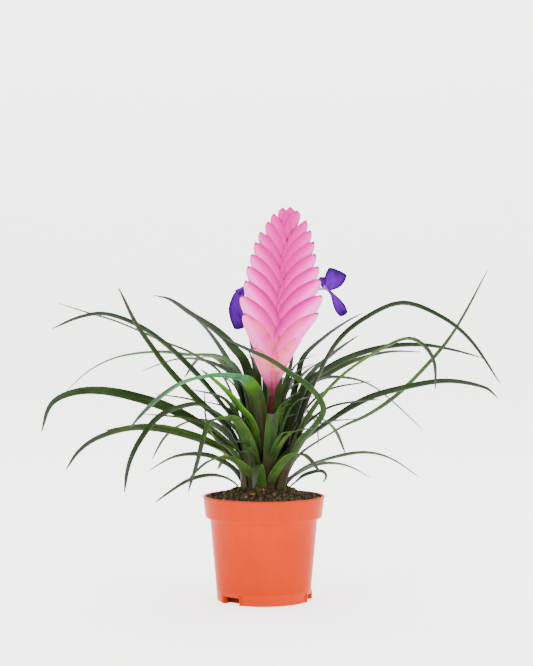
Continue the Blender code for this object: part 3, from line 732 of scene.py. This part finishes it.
def bract_skin(tip, hand, place, rings=34, half_count=11):
    """Grid over (along t, across s). s runs -1 to 1 from the back open edge over the fold to the front
    one. In the flat plane a point lies between the fold and the open edge by |s| to the power 0.9. Its
    depth is the half thickness times |s| to the power 0.62, so the side is rounded. The inner skin
    follows the outer one at 0.86 of its depth. The fold gets a bulge of t^6 (1 - t) just below the tip,
    which blunts it."""
    up, out = tip
    scale = min(1.0, 0.42 + out / 32.0) * (1 + 0.03 * math.sin(3.3 * place))
    t = np.linspace(0, 1, rings) ** 0.85
    run = min(30.0, 0.5 * up + 8) if out > 9 else 16.0 + 0.8 * out
    keel_run = min(50.0, up + 14)
    near_top = max(0.0, 1 - out / 14.0)
    start = (up - run, -1.9 - 2.2 * near_top)
    middle = (up - run * (0.2 - 0.13 * near_top), out * 0.26 - 1.0 - 3.2 * near_top)
    upper = bezier(start, middle, (up, out), t)
    full = float(np.clip((up - 50) / 14.0, 0, 1)) if hand > 0 else 1.0
    bend = (up - keel_run * 0.3, out * (0.74 + 0.29 * full) + 0.9 * full)
    keel = bezier((up - keel_run, -1.6), bend, (up - 0.35, out + 0.1), t)
    keel[:, 1] += (1.0 + 2.4 * max(0.0, 1 - out / 20.0)) * t ** 6 * (1 - t) / 0.0567
    s = np.linspace(-1, 1, half_count)
    flat = keel[:, None] + (upper - keel)[:, None] * (np.abs(s) ** 0.9)[None, :, None]
    thick = 3.6 * scale * (1 - t) ** 0.55 + 0.3
    deep = thick[:, None] * np.sign(s)[None, :] * np.abs(s)[None, :] ** 0.62
    inner_flat = flat + (upper - keel)[:, None] * (0.05 * (1 - np.abs(s)))[None, :, None]
    inner_deep = deep * 0.86 - 0.12 * np.sign(s)[None, :]
    flat = np.concatenate([flat, inner_flat[:, ::-1]], 1)
    deep = np.concatenate([deep, inner_deep[:, ::-1]], 1) + 0.28 * math.sin(2.1 * place + hand)
    body = (QUILL_FOOT + AXIS * flat[..., :1] + RIGHT * hand * flat[..., 1:]
            + np.array([0, -1.0, 0]) * deep[..., None])
    rim = np.tile(np.abs(s), 2)
    marks = spread(flat.shape[:2], across=rim, along=t[:, None], rim=rim, reach=t[:, None],
                   age=up / QUILL_LENGTH)
    return body.reshape(-1, 3), rings, 2 * half_count, marks, -hand


def make_quill():
    """All bracts from the foot up, joined in one mesh."""
    bracts = [(tip, -1) for tip in LEFT_TIPS] + [(tip, 1) for tip in RIGHT_TIPS]
    skins = [bract_skin(tip, hand, place) for place, (tip, hand) in enumerate(sorted(bracts))]
    return make_piece("quill_bracts", *join_skins(skins))


quill = make_quill()
finish_piece(quill, bract_pink, "quill")
print("quill faces:", len(quill.data.polygons))

# %% [markdown]
# ## The flower stem
# The stem is round, dark red and mostly hidden by leaves. It is a circle carried along its line.

# %% Flower stem
def tube_skin(line, radii, around=20):
    """A circle in the plane across the line, its radius given at each step."""
    line = np.asarray(line, float)
    tangent, side = carried_side(line, np.array([0.0, 1.0, 0.0]))
    other = np.cross(tangent, side)
    w = np.linspace(0, 2 * math.pi, around, endpoint=False)
    radii = np.asarray(radii)[:, None, None]
    circle = side[:, None] * np.cos(w)[None, :, None] + other[:, None] * np.sin(w)[None, :, None]
    body = line[:, None] + circle * radii
    marks = spread(body.shape[:2], across=w / 6.2832, along=np.linspace(0, 1, len(line))[:, None])
    return body.reshape(-1, 3), len(line), around, marks, 1


def stem_finish():
    """Dark red with lengthwise lines, greener towards the foot."""
    material, tree, shader = new_material("stem_red", 0.5, specular=0.1)
    lines = effect(tree, vein_group, "Count", 30.0)
    along = along_piece(tree)
    body = ramp(tree, along, ((0.0, (0.03, 0.035, 0.012)), (0.6, (0.06, 0.012, 0.012)),
                              (1.0, (0.06, 0.014, 0.012))))
    stripe = ramp(tree, lines, ((0.35, (0.7, 0.6, 0.6)), (0.65, (1.2, 1.2, 1.2))))
    tree.links.new(multiply(tree, body, stripe), shader.inputs["Base Color"])
    bump(tree, shader, lines, 0.3, 0.0004)
    return material


stem_line = smooth_line([(0, 0, 84.5), (0.6, 0, 98), (2.8, 0, 122), tuple(QUILL_FOOT + AXIS * -12.0)], 40)
stem = make_piece("flower_stem", *join_skins([tube_skin(stem_line, np.linspace(2.4, 2.2, 40))]))
finish_piece(stem, stem_finish(), "scape")
print("stem made")

# %% [markdown]
# ## The flowers
# Each violet flower has three broad petals that narrow to a claw and join in a pale tube, which comes out
# from between two bracts. A petal is a thin sheet with a soft lengthwise trough and a wavy edge. Its
# colour deepens to indigo along the edges, and it is almost white at the claw.

# %% Petal finish
def petal_finish():
    """Violet over most of the petal, darker at its rim, pale lilac at its claw."""
    material, tree, shader = new_material("petal_violet", 0.55, specular=0.04)
    along = along_piece(tree)
    rim = mark(tree, "rim")
    lines = effect(tree, vein_group, "Count", 22.0)
    violet = ramp(tree, lines, ((0.35, (0.045, 0.0, 0.17)), (0.65, (0.115, 0.0, 0.32))))
    dark = rise(tree, rim, 0.62, 0.95)
    colour = mix(tree, times(tree, dark, 0.85), violet, (0.006, 0.0, 0.03))
    # Painted shade: a thin dark band down the middle of the trough, on the lower part of the petal.
    crease_shade = fall(tree, rim, 0.0, 0.1)
    colour = mix(tree, times(tree, crease_shade, 0.6), colour, (0.012, 0.0, 0.05))
    far = ramp(tree, along, ((0.35, (1, 1, 1)), (1.0, (0.55, 0.55, 0.62))))
    colour = multiply(tree, colour, far)
    claw = fall(tree, along, 0.02, 0.1)
    colour = mix(tree, times(tree, claw, 0.7), colour, (0.42, 0.25, 0.62))
    tree.links.new(colour, shader.inputs["Base Color"])
    bump(tree, shader, lines, 0.25, 0.0004)
    return material


petal_violet = petal_finish()
print("finish:", petal_violet.name)

# %% [markdown]
# ## The shape of a flower
# Each petal has a short line from its claw to its end, a list of widths along it, the way that its face
# looks, and the depth of its trough. A thin closed section carried along the line gives a petal that
# shows both faces and has an edge to catch the light. The tube and the petals share one mesh.

# %% Flower shapes
PETAL_HALF_THICKNESS = 0.22


def petal_skin(points, widths, facing, cup, seed, rings=30, half_count=13):
    """Closed thin section along a line. Its trough is cup times half width times u squared, and a small
    ripple that grows towards the edge makes the rim wavy."""
    line = smooth_line(points, rings)
    t = np.linspace(0, 1, rings)
    tangent = unit(np.gradient(line, axis=0))
    side = unit(np.cross(tangent, np.array(facing, float)))
    normal = unit(np.cross(side, tangent))
    place = np.linspace(0, 1, len(widths))
    soft = smooth_line(np.stack([place, np.array(widths, float)], 1), 60)
    half = 0.5 * np.clip(np.interp(t, soft[:, 0], soft[:, 1]), 0.4, None)
    half = half * np.clip((1.015 - t) / 0.06, 0, 1) ** 0.5
    u, upper = both_faces(half_count)
    thick = upper * np.sqrt(np.clip(1 - u ** 2, 0, 1)) * PETAL_HALF_THICKNESS
    ripple = 0.09 * np.sin(9 * t[:, None] + 4 * u + seed) * u ** 2
    lift = half[:, None] * (cup * u ** 2 + ripple) + thick
    body = line[:, None] + side[:, None] * (u * half[:, None])[..., None] + normal[:, None] * lift[..., None]
    rim = np.maximum(np.abs(u), np.clip(t * 1.6 - 0.62, 0, 1)[:, None])
    marks = spread(body.shape[:2], across=u * 0.5 + 0.5, along=t[:, None], rim=rim)
    return body.reshape(-1, 3), rings, len(u), marks, 1


def make_flower(name, solid, throat, petals, tint=0.0):
    """One mesh of a short tube and its petals; tint moves their colour on from the pale claw."""
    tube = tube_skin(smooth_line(throat, 12), np.linspace(1.0, 1.2, 12), around=14)
    tube[3].update(along=tube[3]["along"] * 0.1, rim=np.zeros(len(tube[0])))
    skins = [tube] + [petal_skin(*petal, seed) for seed, petal in enumerate(petals)]
    for skin in skins:
        skin[3]["along"] = tint + (1 - tint) * skin[3]["along"]
    finish_piece(make_piece(name, *join_skins(skins)), petal_violet, solid)


RIGHT_THROAT = ((40.6, -0.2, 229.6), (44.5, -0.2, 229.8), (48, -0.3, 230.2))
RIGHT_PETALS = (
    (((45.2, -0.4, 229.8), (49.4, -1.2, 233.4), (52.8, -2.0, 238.4), (55.0, -2.8, 243.4)),
     (3, 9.5, 14.2, 15.4, 14), (0.1, -1, 0.1), 0.14),
    (((46.5, -0.4, 230), (50.5, -1.4, 225.5), (54.8, -2.6, 218), (59.4, -3.6, 210)),
     (2.2, 3, 6.5, 8.5, 7), (0.1, -1, 0.15), 0.12),
    (((44.9, 0.2, 229.6), (45.0, 2.4, 233), (44.6, 5, 236), (44.2, 7.5, 238.6)),
     (2.6, 6, 7.4, 7.4, 6), (0.1, -1, 0.4), 0.2),
)
LEFT_THROAT = ((-14.3, 0.5, 229.2), (-17.2, 3.0, 228.2), (-18.6, 5.2, 226.2))
LEFT_PETALS = (
    (((-16.6, 4.4, 228.8), (-18.6, 6.0, 222), (-18.6, 7.2, 213), (-14.8, 7.8, 200.8)),
     (6, 11, 14.4, 15.4, 14), (-0.2, -1, 0.1), 0.16),
    (((-18.3, 5.0, 226.6), (-15.5, 10.5, 221), (-12.5, 14, 213), (-12, 16, 205)),
     (2.2, 5, 8.5, 9, 7), (0.1, -1, 0.2), 0.14),
    (((-18.3, 5.0, 226.6), (-18.5, 9, 229), (-18, 14, 230.5), (-17, 18.5, 229)),
     (2.2, 5, 8, 9, 6), (-0.5, -0.2, 1), 0.15),
)
make_flower("flower_right_petals", "flower_right", RIGHT_THROAT, RIGHT_PETALS)
make_flower("flower_left_petals", "flower_left", LEFT_THROAT, LEFT_PETALS, tint=0.3)
print("flowers made")

# %% [markdown]
# ## The pot
# A nursery pot is one thin moulding. A deep band stiffens its rim, the wall tapers to the foot, and three
# notches let water out. Turning one closed outline round the axis gives the wall, and blocks cut the
# notches. A roof and sides behind each notch hold back the soil, and a slot in the roof drains it.

# %% Pot shape
def turned(name, outline, sides=192):
    """Each outline point (radius, height) is carried round the axis: x = r cos w, y = r sin w."""
    r, z = np.array(outline, float).T
    w = np.linspace(0, 2 * math.pi, sides, endpoint=False)
    body = np.stack([np.outer(np.cos(w), r), np.outer(np.sin(w), r), np.tile(z, (sides, 1))], -1)
    count = len(outline)
    i, j = np.meshgrid(np.arange(sides), np.arange(count), indexing="ij")
    n, k = (i + 1) % sides, (j + 1) % count
    faces = np.stack([i * count + j, n * count + j, n * count + k, i * count + k], -1).reshape(-1, 4)
    return make_piece(name, body.reshape(-1, 3), faces)


def notch_block(name, angle, near, far, width, low, high):
    """Eight corners of a box that points outward at a bearing."""
    w = math.radians(angle)
    out, side = np.array([math.cos(w), math.sin(w), 0]), np.array([-math.sin(w), math.cos(w), 0])
    flat = [(near, -0.5), (far, -0.5), (far, 0.5), (near, 0.5)]
    corners = [out * r + side * s * width + np.array([0, 0, h]) for h in (low, high) for r, s in flat]
    faces = [(3, 2, 1, 0), (4, 5, 6, 7), (0, 1, 5, 4), (1, 2, 6, 5), (2, 3, 7, 6), (3, 0, 4, 7)]
    return make_piece(name, corners, faces)


def cut(piece, blocks, operation):
    """Join or cut a piece with blocks, keep the result and remove the blocks."""
    for block in blocks:
        change = piece.modifiers.new("cut", "BOOLEAN")
        change.operation = operation
        change.solver = "EXACT"
        change.object = block
    graph = bpy.context.evaluated_depsgraph_get()
    result = bpy.data.meshes.new_from_object(piece.evaluated_get(graph))
    piece.modifiers.clear()
    piece.data = result
    for block in blocks:
        bpy.data.objects.remove(block)


NOTCHES = (-13.0, 107.0, 227.0)
POT_OUTLINE = ((0.01, 0), (33.4, 0), (34.1, 0.25), (34.5, 0.9), (35.1, 8.2), (35.2, 8.6), (35.05, 8.9),
               (39.6, 59.4), (39.9, 60.3), (40.6, 60.9), (42.2, 61.0), (42.9, 61.4), (43.2, 62.3),
               (44.5, 74.3), (44.6, 74.9), (45.0, 75.3), (45.05, 76.2), (44.8, 76.8), (44.3, 77.0),
               (43.8, 76.9), (43.4, 76.4), (43.1, 74.5), (41.8, 63.2), (38.6, 61.6), (33.5, 2.2),
               (32.6, 1.5), (0.01, 1.5))
pot = turned("pot_wall", POT_OUTLINE)
pockets = [notch_block("pocket", a, near=25.6, far=34.6, width=18.8, low=0.4, high=7.0) for a in NOTCHES]
cut(pot, pockets, "UNION")
notches = [notch_block("notch", a, near=27.0, far=60, width=16.0, low=-5, high=5.6) for a in NOTCHES]
drains = [notch_block("drain", a, near=28.0, far=31.0, width=8.0, low=2, high=9.6) for a in NOTCHES]
cut(pot, notches + drains, "DIFFERENCE")
pot.data.polygons.foreach_set("use_smooth", np.ones(len(pot.data.polygons), bool))
pot.data.set_sharp_from_angle(angle=math.radians(35))
print("pot faces:", len(pot.data.polygons))

# %% [markdown]
# ## Orange plastic
# Thin moulded plastic is evenly coloured and slightly glossy. The light finds fine scuffs, faint upright
# flow marks from the mould, and a little dust that settles at the foot. Painted shade darkens the recesses.

# %% Pot finish
def plastic_finish():
    """Orange with soft tone changes, upright flow marks, speckled scuffs and dust by height."""
    material, tree, shader = new_material("orange_plastic", 0.36, specular=0.04)
    place = object_place(tree)
    stretch = node(tree, "ShaderNodeMapping", None, Scale=(220.0, 220.0, 6.0))
    tree.links.new(place, stretch.inputs["Vector"])
    flow = node(tree, "ShaderNodeTexNoise", None, Scale=1.0, Detail=3.0)
    tree.links.new(stretch.outputs["Vector"], flow.inputs["Vector"])
    blotch = effect(tree, mottle_group, "Scale", 35.0)
    speck = effect(tree, mottle_group, "Scale", 900.0)
    colour = ramp(tree, blotch, ((0.3, (0.42, 0.023, 0.0)), (0.7, (0.46, 0.027, 0.0))))
    streak = ramp(tree, flow.outputs["Fac"], ((0.35, (0.985, 0.98, 0.98)), (0.65, (1.01, 1.015, 1.015))))
    colour = multiply(tree, colour, streak)
    height = part_of(tree, place, "Z")
    low = fall(tree, times(tree, height, 10.0), 0.0, 0.12)
    dust = times(tree, times(tree, rise(tree, speck, 0.56, 0.72), low), 0.35)
    colour = mix(tree, dust, colour, (0.25, 0.06, 0.01))
    # Painted shade: the recesses behind the notches, within about 33 mm of the axis, go almost black.
    flat = node(tree, "ShaderNodeVectorMath", {"operation": "MULTIPLY"})
    flat.inputs[1].default_value = (20.0, 20.0, 0.0)
    tree.links.new(place, flat.inputs[0])
    radius = node(tree, "ShaderNodeVectorMath", {"operation": "LENGTH"})
    tree.links.new(flat.outputs["Vector"], radius.inputs[0])
    inside = fall(tree, radius.outputs["Value"], 0.61, 0.66)
    painted_recess_shade = times(tree, inside, rise(tree, times(tree, height, 100.0), 0.05, 0.12))
    colour = mix(tree, times(tree, painted_recess_shade, 0.9), colour, (0.02, 0.008, 0.004))
    tree.links.new(colour, shader.inputs["Base Color"])
    rough = ramp(tree, speck, ((0.3, (0.28, 0.28, 0.28)), (0.75, (0.46, 0.46, 0.46))))
    tree.links.new(rough, shader.inputs["Roughness"])
    bump(tree, shader, flow.outputs["Fac"], 0.03, 0.0003)
    return material


finish_piece(pot, plastic_finish(), "nursery_pot")
print("pot finished")

# %% [markdown]
# ## The soil
# Peat is a mass of crumbs and fibres. The bed is a disc of points lifted by lumps of several sizes, and
# over it lie loose crumbs: low polyhedra pushed out of round, all in the same mesh. A few are pale bits
# of perlite and bark, and a green bloom of moss shows in places.

# %% Soil shape
SOIL_LEVEL, MOUND_RISE = 74.9, 9.5
BED_INNER, BED_OUTER = 6.0, 42.7


def soil_height(x, y):
    """Bed height: flat near the stem, then a mound that falls as a power of the radius, plus lumps."""
    r = np.hypot(x, y)
    mound = SOIL_LEVEL + MOUND_RISE * np.clip(1 - (r - 12) / 30.0, 0, 1) ** 1.5
    lumps = 0.75 * wave(x, y, 3, 2.6) + 0.45 * wave(x, y, 4, 1.1) + 0.25 * wave(x, y, 5, 0.55)
    return mound + lumps * np.clip((42.8 - r) / 3.0, 0.15, 1)


def soil_bed():
    """Polar grid from near the stem out to the wall, with a skirt down inside the pot."""
    radius = np.concatenate([np.linspace(BED_INNER, BED_OUTER, 96), [41.8, 38.0, 33.4, 5.9]])
    w = np.linspace(0, 2 * math.pi, 240, endpoint=False)
    r, a = np.meshgrid(radius, w, indexing="ij")
    x, y = r * np.cos(a), r * np.sin(a)
    z = soil_height(x, y)
    z[-4:] = np.array([66.0, 60.0, 9.8, 9.8])[:, None]
    verts = np.stack([x, y, z], -1).reshape(-1, 3)
    faces = ring_faces(len(radius) + 1, 240) % len(verts)
    return verts, faces


def crumbs(count, seed, near, far, largest):
    """Twelve-point balls pushed out of round, strewn evenly over a ring of the bed."""
    rng = np.random.default_rng(seed)
    gold = (1 + 5 ** 0.5) / 2
    ball = unit(np.array([(-1, gold, 0), (1, gold, 0), (-1, -gold, 0), (1, -gold, 0), (0, -1, gold),
                          (0, 1, gold), (0, -1, -gold), (0, 1, -gold), (gold, 0, -1), (gold, 0, 1),
                          (-gold, 0, -1), (-gold, 0, 1)]))
    tris = np.array([(0, 11, 5), (0, 5, 1), (0, 1, 7), (0, 7, 10), (0, 10, 11), (1, 5, 9), (5, 11, 4),
                     (11, 10, 2), (10, 7, 6), (7, 1, 8), (3, 9, 4), (3, 4, 2), (3, 2, 6), (3, 6, 8),
                     (3, 8, 9), (4, 9, 5), (2, 4, 11), (6, 2, 10), (8, 6, 7), (9, 8, 1)])
    radius = np.sqrt(rng.uniform(near ** 2, far ** 2, count))
    angle = rng.uniform(0, 2 * math.pi, count)
    x, y = radius * np.cos(angle), radius * np.sin(angle)
    size = rng.uniform(0.35, largest, count) ** 1.4
    z = soil_height(x, y) + size * 0.25
    shape = ball[None] * rng.uniform(0.6, 1.2, (count, 12, 1)) * size[:, None, None]
    shape *= rng.uniform(0.6, 1.35, (count, 1, 3))
    verts = (shape + np.stack([x, y, z], -1)[:, None]).reshape(-1, 3)
    faces = (tris[None] + 12 * np.arange(count)[:, None, None]).reshape(-1, 3)
    return verts, faces, np.repeat(rng.uniform(0, 1, count), 12)


bed_verts, bed_faces = soil_bed()
crumb_verts, crumb_faces, crumb_tone = crumbs(4600, seed=11, near=6.0, far=42.0, largest=1.6)
soil_verts = np.vstack([bed_verts, crumb_verts])
soil_faces = bed_faces.tolist() + (crumb_faces + len(bed_verts)).tolist()
soil_tone = np.concatenate([np.full(len(bed_verts), 0.4), crumb_tone])
soil = make_piece("soil_bed", soil_verts, soil_faces, {"tone": soil_tone})
print("soil faces:", len(soil_faces))

# %% [markdown]
# ## Peat brown
# Wet peat is nearly black, with lighter fibres. Each crumb holds its own number, so that a few come out
# pale, like bark and perlite, without a material for each. Broad soft blotches add the green bloom.

# %% Soil finish
def peat_finish():
    """Dark brown with lighter fibre specks, pale bits by crumb, and a green bloom."""
    material, tree, shader = new_material("peat", 0.92, specular=0.2)
    tone = mark(tree, "tone")
    fine = effect(tree, mottle_group, "Scale", 700.0)
    broad = effect(tree, mottle_group, "Scale", 70.0)
    colour = ramp(tree, fine, ((0.3, (0.012, 0.007, 0.004)), (0.55, (0.045, 0.026, 0.014)),
                               (0.75, (0.12, 0.075, 0.04))))
    moss = rise(tree, broad, 0.5, 0.62)
    colour = mix(tree, times(tree, moss, 0.5), colour, (0.05, 0.062, 0.015))
    bits = ramp(tree, tone, ((0.0, (0.5, 0.5, 0.5)), (0.6, (1.1, 1.05, 1.0)), (0.9, (1.9, 1.7, 1.5)),
                             (0.97, (4.5, 4.2, 3.6))))
    tree.links.new(multiply(tree, colour, bits), shader.inputs["Base Color"])
    bump(tree, shader, fine, 0.5, 0.0006)
    return material


peat = peat_finish()
finish_piece(soil, peat, "potting_soil")
print("finish:", peat.name)

# %% [markdown]
# ## The stem base
# Only the domed top of the stem base can be seen, between the leaf feet, and there old sheaths, bark and
# crumbs of peat cover it. It is a closed dome of points with small lumps, strewn with the same crumbs.

# %% Stem base
def dome(rings=30, around=120):
    """Rings of shrinking radius: up the side, over the dome and to a small ring at the middle."""
    radius = np.concatenate([[0.3, 19.0, 19.2, 19.2], np.linspace(19.0, 0.3, rings)])
    w = np.linspace(0, 2 * math.pi, around, endpoint=False)
    r, a = np.meshgrid(radius, w, indexing="ij")
    x, y = r * np.cos(a), r * np.sin(a)
    z = root_height(r) + 0.35 * wave(x, y, 8, 1.0)
    z[0], z[1], z[2], z[3] = 60.0, 60.0, 60.5, 78.2
    verts = np.stack([x, y, z], -1).reshape(-1, 3)
    ends = [face.tolist() for face in closing_faces(len(radius), around)]
    return verts, ring_faces(len(radius), around).tolist() + ends


dome_verts, dome_faces = dome()
bit_verts, bit_faces, bit_tone = crumbs(240, seed=23, near=1.0, far=8.5, largest=1.3)
x, y = bit_verts[:, 0], bit_verts[:, 1]
bit_verts[:, 2] += root_height(np.hypot(x, y)) - soil_height(x, y)
base_verts = np.vstack([dome_verts, bit_verts])
base_faces = dome_faces + (bit_faces + len(dome_verts)).tolist()
base_tone = np.concatenate([np.full(len(dome_verts), 0.5), bit_tone])
base = make_piece("stem_base_top", base_verts, base_faces, {"tone": base_tone})
finish_piece(base, peat, "rootstock")
print("stem base faces:", len(base_faces))

# %% [markdown]
# ## The floor
# The plant is shown on a seamless pale sheet: a floor that curves up far behind. It gives off some light of
# its own, so that it stays nearly white under soft lamps that don't wash out the plant.

# %% Floor
FLOOR_GLOW = 2.2


def backdrop():
    """A strip whose side view is flat, then a quarter circle, then upright."""
    bend = np.linspace(0, math.pi / 2, 24)
    y = np.concatenate([[-3.0], 2.2 + 1.2 * np.sin(bend), [3.4]]) / MM
    z = np.concatenate([[0.0], 1.2 - 1.2 * np.cos(bend), [5.0]]) / MM
    x = np.array([-5.0, 5.0]) / MM
    verts = np.stack([np.tile(x, len(y)), np.repeat(y, 2), np.repeat(z, 2)], -1)
    i = np.arange(len(y) - 1)
    faces = np.stack([2 * i, 2 * i + 1, 2 * i + 3, 2 * i + 2], -1)
    return verts, faces


verts, faces = backdrop()
mesh = bpy.data.meshes.new("studio_floor")
mesh.from_pydata((verts * MM).tolist(), [], faces.tolist())
mesh.polygons.foreach_set("use_smooth", np.ones(len(mesh.polygons), bool))
floor = bpy.data.objects.new("studio_floor", mesh)
bpy.context.scene.collection.objects.link(floor)
paper, _, shader = new_material("pale_paper", 0.9, specular=0.1)
shader.inputs["Base Color"].default_value = (0.88, 0.872, 0.86, 1)
shader.inputs["Emission Color"].default_value = (1.0, 0.985, 0.965, 1)
shader.inputs["Emission Strength"].default_value = FLOOR_GLOW
mesh.materials.append(paper)
print("floor ready")

# %% [markdown]
# ## The light
# Large soft lamps at both front corners and above leave only faint shadows. The surroundings are pale at
# the horizon, so that the end of the sheet is no more than a faint line from behind, and dimmer overhead,
# where they would flatten the shading.

# %% Light
HORIZON = 4.0


def soft_light(name, place, aim, width, power):
    """A square area light that points from its place to its aim."""
    data = bpy.data.lights.new(name, "AREA")
    data.shape = "RECTANGLE"
    data.size = width
    data.size_y = width
    data.energy = power
    lamp = bpy.data.objects.new(name, data)
    lamp.location = place
    direction = np.array(aim, float) - np.array(place, float)
    yaw = math.atan2(direction[1], direction[0]) - math.pi / 2
    pitch = math.atan2(direction[2], math.hypot(direction[0], direction[1])) + math.pi / 2
    lamp.rotation_euler = (pitch, 0, yaw)
    bpy.context.scene.collection.objects.link(lamp)


soft_light("left_window", (-1.3, -1.4, 1.3), (0, 0, 0.15), width=1.0, power=32)
soft_light("right_window", (1.5, -1.1, 1.0), (0, 0, 0.15), width=0.8, power=26)
soft_light("top_window", (0, 0.3, 1.9), (0, 0, 0.1), width=1.4, power=36)
world = bpy.data.worlds.new("pale_room")
world.use_nodes = True
world.node_tree.nodes["Background"].inputs["Color"].default_value = (1.0, 0.99, 0.98, 1)
sky = world.node_tree
direction = sky.nodes.new("ShaderNodeTexCoord").outputs["Generated"]
glow = ramp(sky, part_of(sky, direction, "Z"), ((0.08, (1, 1, 1)), (0.26, (0.16, 0.16, 0.16))))
sky.links.new(times(sky, glow, HORIZON), sky.nodes["Background"].inputs["Strength"])
bpy.context.scene.world = world
print("lights ready")
